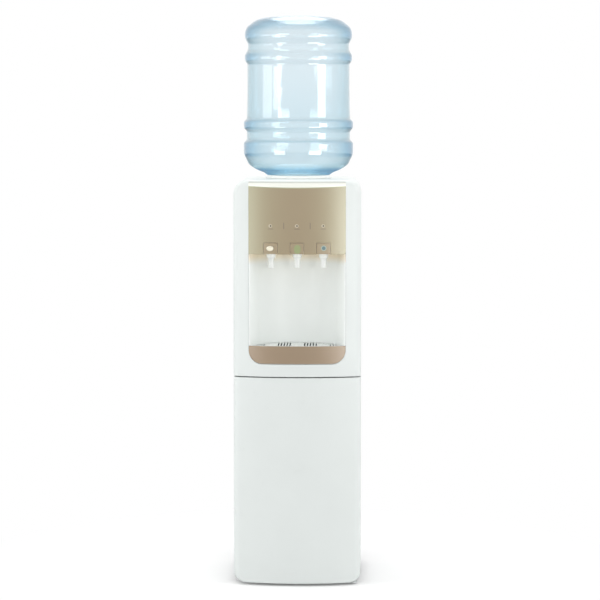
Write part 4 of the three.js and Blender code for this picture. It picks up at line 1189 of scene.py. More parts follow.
@dataclass(frozen=True)
class Form:
    """Outer form of the cabinet, which several mouldings share."""

    half: float = 0.156
    front: float = -0.165
    face: float = -0.108
    back: float = 0.150
    top: float = 0.996
    bow: float = 0.024
    plan_radius: float = 0.020
    crown_radius: float = 0.034
    skirt_radius: float = 0.022
    brow_radius: float = 0.014
    edge_round: float = 0.0016
    groove: float = 0.0007
    head_bottom: float = 0.5167
    door_top: float = 0.5143
    door_bottom: float = 0.006
    wall: float = 0.003
    overrun: float = 0.005
    spacing: float = 0.064
    bow_steps: int = 44
    corner_steps: int = 9
    rise_steps: int = 14
    least_rise: float = 5e-5

    @property
    def near(self) -> float:
        """Depth just before the front, where what cuts through it starts."""
        return self.front - self.overrun

    @property
    def places(self) -> Place:
        """Places of the keys, lamps and nozzles across the front."""
        return -self.spacing, 0.0, self.spacing

    @property
    def bow_radius(self) -> float:
        """Radius of the bowed front in plan."""
        return (self.half**2 + self.bow**2) / (2 * self.bow)

    def bow_y(self, x: float, inset: float = 0.0) -> float:
        """Depth of the bowed front at a place across it."""
        radius = self.bow_radius
        return self.front + radius - math.sqrt((radius - inset) ** 2 - x**2)

    def plan(self, side: float, inset: float, back: float) -> list[Point]:
        """Plan of the bowed front, closed by a straight line at the back.

        Args:
            side: Half the width.
            inset: How far the front is drawn in.
            back: Where the straight line lies.

        Returns:
            The corners of the plan.
        """
        centre = self.front + self.bow_radius
        round_by = max(self.plan_radius - inset, self.edge_round)
        corner_x = side - round_by
        corner_y = centre - math.sqrt((self.bow_radius - inset - round_by) ** 2 - corner_x**2)
        turn = math.atan2(corner_y - centre, corner_x)
        bow = arc(0.0, centre, self.bow_radius - inset, -math.pi - turn, turn, self.bow_steps)
        return [
            (-side, back),
            *arc(-corner_x, corner_y, round_by, -math.pi, -math.pi - turn, self.corner_steps),
            *bow[1:-1],
            *arc(corner_x, corner_y, round_by, turn, 0.0, self.corner_steps),
            (side, back),
        ]

    def stack(
        self,
        bottom: float,
        top: float,
        back: float,
        inset: float = 0.0,
        low_corner: float = 0.0,
        high_corner: float = 0.0,
        low_round: float = 0.0,
        high_round: float = 0.0,
    ) -> list[list[Place]]:
        """Rings of a bowed body whose corners and edges are rounded.

        Args:
            bottom: Lowest level.
            top: Highest level.
            back: Depth of its flat back.
            inset: How far its sides and front are drawn in.
            low_corner: Radius of the lower corners, seen from the front.
            high_corner: Radius of the upper corners, seen from the front.
            low_round: Radius of the lower front edge.
            high_round: Radius of the upper front edge.

        Returns:
            The rings, from the lowest up.
        """
        quarter = [QUARTER * i / self.rise_steps for i in range(self.rise_steps + 1)]
        levels = {bottom, top}
        for radius in (low_corner, low_round):
            levels |= {bottom + radius * (1 - math.sin(angle)) for angle in quarter}
        for radius in (high_corner, high_round):
            levels |= {top - radius * (1 - math.sin(angle)) for angle in quarter}

        def lost(level: float, low: float, high: float) -> float:
            """How far a rounded corner or edge draws in at a level.

            Args:
                level: The level.
                low: Radius at the bottom.
                high: Radius at the top.

            Returns:
                The distance.
            """
            reach, radius = 0.0, 0.0
            if low and level < bottom + low:
                reach, radius = bottom + low - level, low
            if high and level > top - high:
                reach, radius = level - top + high, high
            return radius - math.sqrt(max(0.0, radius**2 - reach**2))

        rings = []
        last = -1.0
        for level in sorted(levels):
            if level - last < self.least_rise:
                continue
            last = level
            side = self.half - inset - lost(level, low_corner, high_corner)
            drawn = inset + lost(level, low_round, high_round)
            side = min(side, self.half - drawn)
            rings.append([(x, y, level) for x, y in self.plan(side, drawn, back)])
        return rings

    def head(self, name: str, inset: float, bottom: float, back: float) -> Piece:
        """Makes the solid of the head, whose upper edge is rolled back.

        Args:
            name: Name of the solid.
            inset: How far its sides, front and top are drawn in.
            bottom: Lowest level.
            back: Depth of its flat back.

        Returns:
            The solid.
        """
        rings = self.stack(
            bottom,
            self.top - inset,
            back,
            inset,
            high_corner=self.crown_radius - inset,
            high_round=self.brow_radius - inset,
            low_round=0.0 if inset else self.edge_round,
        )
        return Bench.loft(name, rings)

    def skin(self, name: str, wall: float) -> Piece:
        """Skin of the head, as thick as its wall.

        Args:
            name: Name of the skin.
            wall: Thickness of its wall.

        Returns:
            The skin, open below.
        """
        outer = self.head(name, 0.0, self.head_bottom, self.face)
        room = self.head("room", wall, self.head_bottom - self.overrun, self.face + self.overrun)
        return Bench.carve(outer, room)

    def inner_plan(self, inset: float) -> list[Point]:
        """Plan drawn in by an inset, closed far behind the front."""
        return self.plan(self.half - inset, inset, 0.0)


def upright(
    half: float, bottom: float, top: float, low_radius: float, high_radius: float, steps: int = 12
) -> list[Point]:
    """Rounded outline seen from the front.

    Args:
        half: Half its width.
        bottom: Its lowest level.
        top: Its highest level.
        low_radius: Radius of its lower corners.
        high_radius: Radius of its upper corners.
        steps: Number of short lines in each corner.

    Returns:
        The corners of the outline.
    """
    low, high = low_radius, high_radius
    return [
        *arc(half - low, bottom + low, low, -QUARTER, 0.0, steps),
        *arc(half - high, top - high, high, 0.0, QUARTER, steps),
        *arc(high - half, top - high, high, QUARTER, 2 * QUARTER, steps),
        *arc(low - half, bottom + low, low, 2 * QUARTER, 3 * QUARTER, steps),
    ]


@dataclass(frozen=True)
class Window:
    """Window in the upper front, which the panel, the alcove and the tray fill."""

    half: float = 0.1184
    bottom: float = 0.5475
    top: float = 0.992
    low_radius: float = 0.034
    high_radius: float = 0.003
    gap: float = 0.0002

    def outline(self, inset: float, top: float) -> list[Point]:
        """Outline of the window drawn in by an inset, up to a level."""
        low_radius = self.low_radius - inset
        return upright(self.half - inset, self.bottom + inset, top, low_radius, self.high_radius)


@dataclass
class Cabinet:
    """Upper front, top cover, side panels, back panel and base of the cabinet."""

    form: Form
    window: Window
    finishes: Finishes
    cover_bottom: float = 0.950
    cover_corner: float = 1e-4
    cover_steps: int = 16
    cover_round: float = 0.0012
    seat_hole: float = 0.070
    joint_gap: float = 0.0003
    sheet_round: float = 0.0005
    foot: tuple[Point, ...] = (
        (0.0, 0.0), (0.0115, 0.0), (0.012, 0.002), (0.0112, 0.005), (0.006, 0.005)
    )

    def build_front(self) -> None:
        """Upper front: bowed moulding with the window through it."""
        form, window = self.form, self.window
        obj = form.skin("upper_front_moulding", form.wall)
        low, high = window.bottom - form.wall, window.bottom + window.low_radius
        Bench.scored(obj, Axis.Z, (low, high, window.top - form.wall))
        sides = (window.half + form.wall, window.half - window.low_radius)
        Bench.scored(obj, Axis.X, [side * sign for side in sides for sign in (-1, 1)])
        outline = window.outline(0.0, window.top)
        Bench.carve(obj, Bench.run("opening", outline, Axis.Y, form.near, form.face - form.wall))
        place_piece(obj, 38.0, self.finishes.body, "cabinet", "body_white", "upper_front")

    def arch(self, inset: float, bottom: float) -> list[Point]:
        """Outline of the cover seen from the front, drawn in by an inset.

        Args:
            inset: How far its sides and top are drawn in.
            bottom: Its lowest level.

        Returns:
            The corners of the outline.
        """
        form, corner, steps = self.form, self.cover_corner, self.cover_steps
        radius = form.crown_radius - inset
        return upright(form.half - inset, bottom, form.top - inset, corner, radius, steps)

    def build_cover(self) -> None:
        """Top cover: arched lid with a round hole for the seat."""
        form, bottom = self.form, self.cover_bottom
        near, far = form.face + self.joint_gap, form.back
        obj = Bench.run("top_cover_lid", self.arch(0.0, bottom), Axis.Y, near, far)
        inner = self.arch(form.wall, bottom - form.overrun)
        Bench.carve(obj, Bench.run("room", inner, Axis.Y, near - form.overrun, far - form.wall))
        Bench.carve(obj, Bench.rod("hole", self.seat_hole, (bottom, form.top + form.wall), 96))
        Bench.rounded(obj, self.cover_round)
        place_piece(obj, 34.0, self.finishes.body, "cabinet", "body_white", "top_cover")

    def build_sides(self) -> None:
        """Side panels, back panel and what lies under the cabinet."""
        finishes = self.finishes
        for side in ("left", "right"):
            names = (f"side_panel_{side}", f"side_sheet_{side}")
            copy_piece(*names, finishes.coat, "panel_white", self.sheet_round)
        dress(finishes.zinc, "back_panel", "base_pan", "partition", "tank_shelf")
        feet = (f"foot_{end}_{side}" for end in ("front", "rear") for side in ("left", "right"))
        for node in feet:
            low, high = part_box(node)
            middle = ((low.x + high.x) / 2, (low.y + high.y) / 2)
            profile = [*self.foot, (self.foot[-1][0], high.z), (0.0, high.z)]
            foot = Bench.turned(f"{node}_pad", eased(profile, 0.0006, 2), 40, centre=middle)
            place_piece(foot, 32.0, finishes.rubber, "cabinet", "rubber", node)

    def build(self) -> None:
        """Builds every piece."""
        self.build_front()
        self.build_cover()
        self.build_sides()


@dataclass
class ControlHead:
    """Control panel, keys, child lock and indicator lamps."""

    form: Form
    window: Window
    finishes: Finishes
    panel_bottom: float = 0.816
    key_half: float = 0.0165
    key_height: float = 0.0266
    key_bottom: float = 0.817
    key_gap: float = 0.0005
    key_thickness: float = 0.003
    key_steps: int = 10
    key_round: float = 0.0007
    panel_round: float = 0.0004
    stem_half: float = 0.004
    stem_lap: float = 0.001
    stem_z: Point = (0.8263, 0.8343)
    lamp_radius: float = 0.0017
    lamp_gap: float = 0.0002
    lamp_dome: float = 0.0005
    lamp_z: float = 0.885
    lamp_border: float = 0.004
    lock_half_x: float = 0.00875
    lock_half_z: float = 0.006
    lock_shift: float = 0.0016
    lock_travel: float = 0.0016
    lock_depth: float = 0.0024
    lock_crown: float = 0.0009
    lock_gap: float = 0.0004
    lock_clearance: float = 0.0003
    lock_profile: tuple[Point, ...] = (
        (1.0, 1.2), (0.97, 0.55), (0.9, 0.2), (0.76, 0.0), (0.62, 0.2), (0.4, 0.62), (0.16, 0.78)
    )
    groove_z: Point = (0.9776, 0.9788)
    gold: Colour = srgb(144, 125, 88)
    mark: Colour = srgb(84, 70, 50)
    halo: Colour = srgb(214, 203, 180)

    def marks(self) -> tuple[Spot, ...]:
        """Plain marks by the lamps and the thin lines between them.

        Returns:
            The marks.
        """
        spots, z, half_gap = [], self.lamp_z, self.form.spacing / 2
        for x in self.form.places:
            spots.append(Spot(x - 0.0006, z, 0.0044, 0.0042, self.halo, 0.6))
            spots.append(Spot(x, z - 0.0074, 0.0068, 0.0010, self.mark, 0.7, 6.0))
        for x in (-half_gap, half_gap):
            spots.append(Spot(x, z, 0.0010, 0.0078, self.mark, 0.8, 6.0))
        return tuple(spots)

    def build_panel(self) -> None:
        """Gilt panel, rolled back at its upper edge."""
        form, window = self.form, self.window
        obj = form.skin("control_panel_moulding", form.wall)
        behind = form.face + form.overrun
        around = form.plan(form.half + form.overrun, -form.overrun, behind)
        within = form.plan(form.half - form.groove, form.groove, behind)
        band = [Bench.run("band", plan, Axis.Z, *self.groove_z) for plan in (around, within)]
        Bench.carve(obj, Bench.carve(*band))
        border = self.lamp_border
        key_top = self.key_bottom + self.key_height + 2 * self.key_gap
        Bench.scored(obj, Axis.Z, (self.lamp_z - border, self.lamp_z + border, key_top))
        Bench.scored(obj, Axis.X, [x + side * border for x in form.places for side in (-1, 1)])
        half, top, corner = window.half - window.gap, window.top - window.gap, window.high_radius
        outline = upright(half, self.panel_bottom, top, corner, corner)
        near, far = form.near, form.face
        Bench.carve(obj, Bench.run("panel_outline", outline, Axis.Y, near, far), Carve.KEEP)
        half = self.key_half + self.key_gap
        high = self.key_bottom + self.key_height + self.key_gap
        for x in form.places:
            notch = upright(half, self.panel_bottom - form.overrun, high, 0.0004, 0.001, 3)
            notch = [(x + across, up) for across, up in notch]
            Bench.carve(obj, Bench.run("notch", notch, Axis.Y, near, far))
            radius, centre = self.lamp_radius + self.lamp_gap, (x, self.lamp_z)
            Bench.carve(obj, Bench.rod("hole", radius, (near, far), 24, Axis.Y, centre))
        Bench.rounded(obj, self.panel_round, 2)
        # Colours of painted light: pale highlight band, olive shadow line, grey seam shade and
        # lighter end reflections.
        pale, painted_shadow_line = srgb(243, 244, 234), srgb(178, 184, 148)
        seam, ends = srgb(196, 198, 190), srgb(147, 141, 100)
        crown = PaintedLightBand(self.groove_z[0], 0.004, window.half, pale, painted_shadow_line, seam, ends)
        gold = Gilt("champagne_panel", self.gold, spots=self.marks(), crown=crown)
        place_piece(obj, 36.0, gold.make(), "cabinet", "gold_panel", "control_panel")

    def key_spots(self, name: str, x: float) -> tuple[Spot, ...]:
        """Coloured mark of a key.

        Args:
            name: What the key pours.
            x: Its place across the front.

        Returns:
            The spots that the mark is made of.
        """
        x, z = x + 0.0008, self.key_bottom + self.key_height / 2
        leaf = (Spot(x, z - 0.002, 0.0078, 0.0104, srgb(134, 152, 84), 0.85, 2.6),)
        rim = Spot(x, z + 0.0008, 0.0064, 0.0064, srgb(156, 184, 172), 0.8)
        drop = Spot(x, z + 0.0008, 0.0045, 0.0045, srgb(24, 88, 96))
        return {"ambient": leaf, "cold": (rim, drop)}.get(name, ())

    def build_keys(self) -> None:
        """Push keys with bowed faces and softened edges, each with its stem."""
        form, half, steps = self.form, self.key_half, self.key_steps
        for name, x in zip(("hot", "ambient", "cold"), form.places, strict=True):
            span = [x - half + 2 * half * i / steps for i in range(steps + 1)]
            back = max(form.bow_y(span[0]), form.bow_y(span[-1])) + self.key_thickness
            plan = [(span[0], back), *[(px, form.bow_y(px)) for px in span], (span[-1], back)]
            top = self.key_bottom + self.key_height
            obj = Bench.run(f"key_{name}_cap", plan, Axis.Z, self.key_bottom, top)
            sides = (x - self.stem_half, x + self.stem_half)
            depth = (back - self.stem_lap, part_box(f"key_{name}")[1].y)
            stem = Bench.block("stem", sides, depth, self.stem_z, self.panel_round)
            Bench.rounded(obj, self.key_round)
            Bench.carve(obj, stem, Carve.ADD)
            if name == "hot":
                floor = form.bow_y(self.lock_x) + self.lock_depth + self.lock_clearance
                well = Bench.run("well", self.oval(self.lock_gap), Axis.Y, form.near, floor)
                Bench.carve(obj, well)
            gold = Gilt(f"champagne_key_{name}", self.gold, spots=self.key_spots(name, x))
            place_piece(obj, 36.0, gold.make(), f"{name}_key", "gold_panel", f"key_{name}")

    @property
    def lock_x(self) -> float:
        """Middle of the child lock across the front."""
        return -self.form.spacing - self.lock_shift

    def oval(self, grown: float, share: float = 1.0) -> list[Point]:
        """Outline of the child lock.

        Args:
            grown: Gap that it is grown by.
            share: Share of its size.

        Returns:
            The corners of the outline.
        """
        x, z = self.lock_x, self.key_bottom + self.key_height / 2
        half_x, half_z = (self.lock_half_x + grown) * share, (self.lock_half_z + grown) * share
        return [(x + a * half_x, z + b * half_z) for a, b in arc(0, 0, 1, 0, TURN, 40)[:-1]]

    def build_lock(self) -> None:
        """Child lock: oval button with a soft crown and a dimple."""
        near = self.form.bow_y(self.lock_x) - self.lock_travel
        steps = [(share, sunk * self.lock_crown) for share, sunk in self.lock_profile]
        rings = [
            [(x, near + set_back, z) for x, z in self.oval(0.0, share)]
            for share, set_back in [(1.0, self.lock_depth), *steps]
        ]
        obj = Bench.loft("child_lock_button", rings)
        place_piece(obj, 60.0, self.finishes.ivory, "lock_button", "ivory", "child_lock")

    def build_lamps(self) -> None:
        """Indicator lamps: domed lenses on thin light pipes."""
        radius, dome = self.lamp_radius, self.lamp_dome
        for name, x in zip(("hot", "power", "cold"), self.form.places, strict=True):
            low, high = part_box(f"lamp_{name}")
            profile = [(0.0, low.y), (radius * 0.55, low.y + dome * 0.2)]
            profile += [(radius * 0.9, low.y + dome), (radius, low.y + 2 * dome)]
            profile += [(radius, high.y), (0.0, high.y)]
            obj = Bench.turned(f"lamp_{name}_lens", profile, 28, Axis.Y, (x, self.lamp_z))
            place_piece(obj, 50.0, self.finishes.lens, "cabinet", "lamp", f"lamp_{name}")
        dress(self.finishes.board, "display_board")

    def build(self) -> None:
        """Builds every piece."""
        self.build_panel()
        self.build_keys()
        self.build_lock()
        self.build_lamps()


@dataclass
class Alcove:
    """Liner of the alcove, taps, drip tray and grille."""

    form: Form
    window: Window
    finishes: Finishes
    back: float = -0.057
    crease_x: float = 0.094
    arc_radius: float = 0.124
    arc_steps: int = 48
    crease_round: float = 0.009
    crease_skip: int = 4
    crease_steps: int = 8
    flare_y: float = -0.152
    rim_inset: float = 0.0002
    ceiling: float = 0.816
    ceiling_front: float = -0.1506
    ceiling_hole: float = 0.0116
    tap_y: float = -0.133
    tap_half_x: float = 0.013
    tap_half_y: float = 0.018
    tap_z: Point = (0.8193, 0.8413)
    tap_bore: float = 0.005
    tap_socket: float = 0.0046
    tap_socket_depth: float = 0.0103
    tap_round: float = 0.0012
    tap_root: float = 0.004
    barb_round: float = 0.0006
    nozzle_lip: tuple[Point, ...] = ((0.0070, 0.0012), (0.0074, 0.0018))
    nozzle_flare: tuple[Point, ...] = (
        (0.0076, 0.8030), (0.0080, 0.8048), (0.0100, 0.8066), (0.0112, 0.8078)
    )
    tray_top: float = 0.592
    tray_bottom: float = 0.549
    tray_wall: float = 0.004
    tray_corner_cut: float = 0.0015
    tray_round: float = 0.0009
    bowl_wall: float = 0.0025
    bowl_gap: float = 0.001
    grille_drop: float = 0.0032
    grille_skin: float = 0.0016
    grille_gap: float = 0.0012
    grille_edge: float = 0.0075
    grille_round: float = 0.0005
    slot: float = 0.0032
    slot_fan: float = 0.1
    dry: float = 0.014
    fit: float = 0.0003
    gold: Colour = srgb(138, 113, 80)

    @property
    def centre_y(self) -> float:
        """Depth of the middle of the round back."""
        return self.back - self.arc_radius

    def plan(self, inset: float) -> list[Point]:
        """Plan of the alcove: flared sides that ease into a round back.

        Args:
            inset: How far the walls are drawn in.

        Returns:
            The corners of the plan.
        """
        form, skip = self.form, self.crease_skip
        mouth = self.window.half - self.window.gap - form.wall - inset
        half_turn = math.asin(self.crease_x / self.arc_radius)
        ends = (QUARTER - half_turn, QUARTER + half_turn)
        bend = arc(0.0, self.centre_y, self.arc_radius - inset, *ends, self.arc_steps)
        start, end = Vector((mouth, self.flare_y)), Vector(bend[0])
        ahead = (start - end).normalized() * self.crease_round
        crease = curve(end + ahead, end, Vector(bend[skip]), self.crease_steps)
        return [
            (-mouth, form.near),
            (mouth, form.near),
            (mouth, self.flare_y),
            *crease,
            *bend[skip + 1 : -skip - 1],
            *[(-x, y) for x, y in reversed(crease)],
            (-mouth, self.flare_y),
        ]

    def build_liner(self) -> None:
        """Liner: walls of the recess, its rim, and a ceiling with three holes."""
        form, window, ceiling = self.form, self.window, self.ceiling
        base, roof = window.bottom, ceiling + form.wall
        obj = Bench.run("alcove_liner_moulding", self.plan(-form.wall), Axis.Z, base, roof)
        frame = Bench.run("frame", window.outline(window.gap, roof), Axis.Y, form.near, 0.0)
        Bench.carve(obj, frame, Carve.KEEP)
        hollow = Bench.run("hollow", self.plan(0.0), Axis.Z, base, ceiling)
        mouth = window.outline(window.gap + form.wall, ceiling)
        mouth_run = Bench.run("mouth", mouth, Axis.Y, form.near - form.overrun, 0.0)
        Bench.carve(obj, Bench.carve(hollow, mouth_run, Carve.KEEP))
        level, low, lap = self.tray_top + self.fit, ceiling - 2 * self.fit, 0.001
        keep = Bench.run("keep", form.inner_plan(self.rim_inset), Axis.Z, level, low)
        plan = form.inner_plan(self.tray_wall + window.gap)
        behind = Bench.run("behind", plan, Axis.Z, base - form.overrun, level + lap)
        plan = form.inner_plan(form.wall + window.gap)
        plan = [(x, max(y, self.ceiling_front)) for x, y in plan]
        above = Bench.run("above", plan, Axis.Z, low - lap, roof + form.overrun)
        Bench.carve(keep, behind, Carve.ADD)
        Bench.carve(keep, above, Carve.ADD)
        Bench.carve(obj, keep, Carve.KEEP)
        ends = (low - 0.004, roof + 0.002)
        for x in form.places:
            hole = Bench.rod("hole", self.ceiling_hole, ends, 40, centre=(x, self.tap_y))
            Bench.carve(obj, hole)
        place_piece(obj, 34.0, self.finishes.liner, "cabinet", "liner_white", "alcove_liner")

    def build_taps(self) -> None:
        """Taps: block with a key socket, a flared nozzle below and an inlet behind."""
        base, middle, bore = self.tap_z[0] + self.tap_root, sum(self.tap_z) / 2, self.tap_bore
        front, rear = self.tap_y - self.tap_half_y, self.tap_y + self.tap_half_y
        for name, x in zip(("hot", "ambient", "cold"), self.form.places, strict=True):
            low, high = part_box(f"tap_{name}")
            sides, centre = (x - self.tap_half_x, x + self.tap_half_x), (x, self.tap_y)
            obj = Bench.block(f"tap_{name}_body", sides, (front, rear), self.tap_z, self.tap_round)
            lip = [(radius, low.z + rise) for radius, rise in self.nozzle_lip]
            outer = [(bore, lip[0][1]), *lip, *self.nozzle_flare]
            outer += [(outer[-1][0], base), (bore, base)]
            nozzle = Bench.turned("nozzle", outer, 48, centre=centre)
            ends = (rear - 0.001, high.y)
            barb = Bench.rod("barb", bore, ends, 28, Axis.Y, (x, middle), self.barb_round)
            Bench.carve(obj, barb, Carve.ADD)
            Bench.carve(obj, nozzle, Carve.ADD)
            Bench.carve(obj, Bench.rod("bore", bore, (low.z - 0.002, middle), 32, centre=centre))
            side = self.tap_socket
            sides, heights = (x - side, x + side), (middle - side, middle + side)
            depth = (front - self.tap_root, front + self.tap_socket_depth)
            Bench.carve(obj, Bench.block("socket", sides, depth, heights))
            nozzle_white = self.finishes.nozzle
            place_piece(obj, 36.0, nozzle_white, "cabinet", "body_white", f"tap_{name}")

    def bowl(self, name: str, inset: float, top: float) -> Piece:
        """Makes a solid that fills the alcove behind the tray's front.

        Args:
            name: Name of the solid.
            inset: How far it is drawn in from the bowl's outside.
            top: Its level.

        Returns:
            The solid.
        """
        form, window = self.form, self.window
        base, over = window.bottom, top + form.overrun
        obj = Bench.run(name, self.plan(self.bowl_gap + inset), Axis.Z, base, top)
        outline = window.outline(window.gap + form.wall + self.bowl_gap + inset, over)
        Bench.carve(obj, Bench.run("side", outline, Axis.Y, form.near, 0.0), Carve.KEEP)
        plan = form.inner_plan(self.tray_wall + self.fit + inset)
        face = Bench.run("face", plan, Axis.Z, base - form.overrun, over)
        return Bench.carve(obj, face, Carve.KEEP)

    def build_tray(self) -> None:
        """Drip tray and its gilt front."""
        form, window = self.form, self.window
        level = self.tray_top - self.grille_drop - self.fit
        obj = self.bowl("drip_tray_bowl", 0.0, level)
        Bench.carve(obj, self.bowl("inside", self.bowl_wall, level + form.overrun))
        # The bowl's grey is painted shade, seen through the grille's slots.
        place_piece(obj, 34.0, self.finishes.bowl, "tray", "liner_white", "drip_tray")

        front = form.skin("drip_tray_gilt_front", self.tray_wall)
        half, low_radius = window.half - 2 * window.gap, window.low_radius - self.tray_corner_cut
        bottom, top = self.tray_bottom, self.tray_top
        outline = upright(half, bottom, top, low_radius, window.high_radius, 16)
        shape = Bench.run("shape", outline, Axis.Y, form.near, form.face - form.wall)
        Bench.carve(front, shape, Carve.KEEP)
        Bench.rounded(front, self.tray_round)
        gold = Gilt("champagne_tray", self.gold)
        place_piece(front, 38.0, gold.make(), "tray", "gold_tray", "drip_tray_front")

    def slot_outline(self, front_x: float) -> list[Point]:
        """Outline of a slot of the grille.

        Args:
            front_x: Place of its front end across the grille.

        Returns:
            The outline, round at both ends.
        """
        form, places, dry, half = self.form, self.form.places, self.dry, self.slot / 2
        fan = max(0.0, abs(front_x) - form.spacing) * self.slot_fan
        rear_x = front_x - math.copysign(fan, front_x)
        inner = self.arc_radius - self.grille_gap - self.grille_edge
        far = self.centre_y + math.sqrt(inner**2 - rear_x**2)
        near = form.bow_y(front_x, self.tray_wall + self.grille_edge)
        beside = min(abs(x - front_x) for x in places)
        if beside < dry:
            near = far - 0.011 - 0.013 * (beside / dry) ** 2
        elif abs(front_x) > self.crease_x:
            near = max(near, self.flare_y + (abs(front_x) - self.crease_x) * 1.6)
        start, end = Vector((front_x, near)), Vector((rear_x, far))
        along = (end - start).normalized()
        angle = math.atan2(along.y, along.x)
        tip = arc(*(end - along * half), half, angle - QUARTER, angle + QUARTER, 6)
        tail = arc(*(start + along * half), half, angle + QUARTER, angle + 3 * QUARTER, 6)
        return [*tip, *tail]

    def build_grille(self) -> None:
        """Slotted grille: three plain rounds under the nozzles, slots fanned at the ends."""
        form = self.form
        pitch, low, top = form.spacing / 9, self.tray_top - self.grille_skin, self.tray_top
        under, over = low - form.overrun, top + form.overrun
        obj = Bench.run("drip_grille_plate", self.plan(self.grille_gap), Axis.Z, low, top)
        plan = form.inner_plan(self.tray_wall + 2 * self.fit)
        Bench.carve(obj, Bench.run("face", plan, Axis.Z, under, over), Carve.KEEP)
        outlines = [self.slot_outline((i + 0.5) * pitch) for i in range(-15, 15)]
        slots = [Bench.run("slot", outline, Axis.Z, under, over) for outline in outlines]
        Bench.carve(obj, Bench.joined("slots", slots))
        Bench.rounded(obj, self.grille_round, 2)
        place_piece(obj, 34.0, self.finishes.nozzle, "grille", "liner_white", "drip_grille")

    def build(self) -> None:
        """Builds every piece."""
        self.build_liner()
        self.build_taps()
        self.build_tray()
        self.build_grille()


@dataclass
class Bottle:
    """Bottle upside down, its cap, the seat that holds it and the probe."""

    finishes: Finishes
    steps: int = 112
    wall: float = 0.0015
    neck_bottom: float = 0.912
    neck_top: float = 0.960
    neck_radius: float = 0.0275
    neck_wall: float = 0.0024
    dome: float = 1.36
    top: float = 1.399
    cap_outer: float = 0.0298
    cap_inner: float = 0.0278
    cap_hole: float = 0.0110
    cap_floor: float = 0.0027
    cone: tuple[Point, ...] = (
        (0.0360, 0.9740), (0.0864, 1.0105), (0.0975, 1.0146), (0.1080, 1.0196), (0.1160, 1.0245),
        (0.1222, 1.0296), (0.1258, 1.0346), (0.1288, 1.0415), (0.1328, 1.0494), (0.1352, 1.0548),
    )
    rings: tuple[Point, ...] = (
        (0.1358, 1.0620), (0.1358, 1.0838), (0.1283, 1.0912), (0.1283, 1.1118), (0.1356, 1.1202),
        (0.1356, 1.1356), (0.1284, 1.1432), (0.1276, 1.1700), (0.1267, 1.2200), (0.1265, 1.2778),
        (0.1327, 1.2852), (0.1327, 1.2994), (0.1252, 1.3138), (0.1252, 1.3275), (0.1320, 1.3400),
        (0.1326, 1.3460), (0.1321, 1.3570), (0.1286, 1.3668), (0.1240, 1.3717), (0.1117, 1.3815),
        (0.1030, 1.3864), (0.0877, 1.3912), (0.0640, 1.3942), (0.0400, 1.3962),
    )
    well: Point = (0.0085, 0.011)
    seat: tuple[Point, ...] = (
        (0.011, 0.9017), (0.0345, 0.9017), (0.0345, 0.960), (0.0405, 0.9713), (0.0694, 0.9926),
        (0.0694, 0.9963), (0.0815, 0.9963), (0.0815, 0.9978), (0.0806, 0.9988), (0.0786, 0.9996),
        (0.0780, 1.0030), (0.0773, 1.0038), (0.0760, 1.0034), (0.0738, 1.0010), (0.0375, 0.9745),
        (0.0315, 0.963), (0.0315, 0.9047), (0.0085, 0.9047),
    )

    def build_bottle(self) -> None:
        """Ribbed clear shell with an open neck."""
        foot, wall, neck_top = self.neck_bottom, self.wall, self.neck_top
        neck = [(self.neck_radius, foot), (self.neck_radius, neck_top)]
        outside = [*neck, *self.cone, *self.rings, (0.0, self.top)]
        inside = [
            (max(0.0, radius - wall), level if level < self.dome else level - wall)
            for radius, level in reversed(outside)
        ]
        inside = [point for point in inside if point[1] > neck_top]
        inside[0] = (0.0, self.top - 2 * wall)
        bore = self.neck_radius - self.neck_wall
        loop = eased([*outside, *inside, (bore, neck_top), (bore, foot)], 0.0034)
        obj = Bench.turned("bottle_shell", loop, self.steps)
        place_piece(obj, 60.0, self.finishes.bottle, "water_bottle", "bottle_blue", "bottle")

    def build_cap(self) -> None:
        """Cap over the neck, ribbed round its skirt, with a hole for the probe."""
        low, high = (corner.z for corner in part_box("bottle_cap"))
        outer, inner, hole, floor = self.cap_outer, self.cap_inner, self.cap_hole, self.cap_floor
        profile = [(hole, low), (outer - 0.0012, low), (outer, low + 0.0012)]
        profile += [(outer, high - 0.004), (outer - 0.0006, high - 0.0032), (outer, high - 0.0024)]
        profile += [(outer, high), (inner, high), (inner, low + floor), (hole, low + floor)]
        obj = Bench.turned("bottle_cap_skirt", profile, 72)
        place_piece(obj, 40.0, self.finishes.cap, "water_bottle", "cap_blue", "bottle_cap")

    def build_seat(self) -> None:
        """Seat: ring and funnel under the shoulder, with a well for the neck."""
        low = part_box("bottle_seat")[0].z
        profile = eased([(bore, low) for bore in self.well] + [*self.seat], 0.0008, 3)
        obj = Bench.turned("bottle_seat_funnel", profile, self.steps)
        # The seat takes the lighter nozzle white, painted lighter than the body white to offset the
        # shade under the bottle.
        place_piece(obj, 40.0, self.finishes.nozzle, "cabinet", "body_white", "bottle_seat")

    def build(self) -> None:
        """Builds every piece, the probe that pierces the cap last."""
        self.build_bottle()
        self.build_cap()
        self.build_seat()
        inner = self.finishes.inner
        copy_piece("water_probe", "water_probe_stem", inner, "liner_white", 0.0004, flat=3.0)


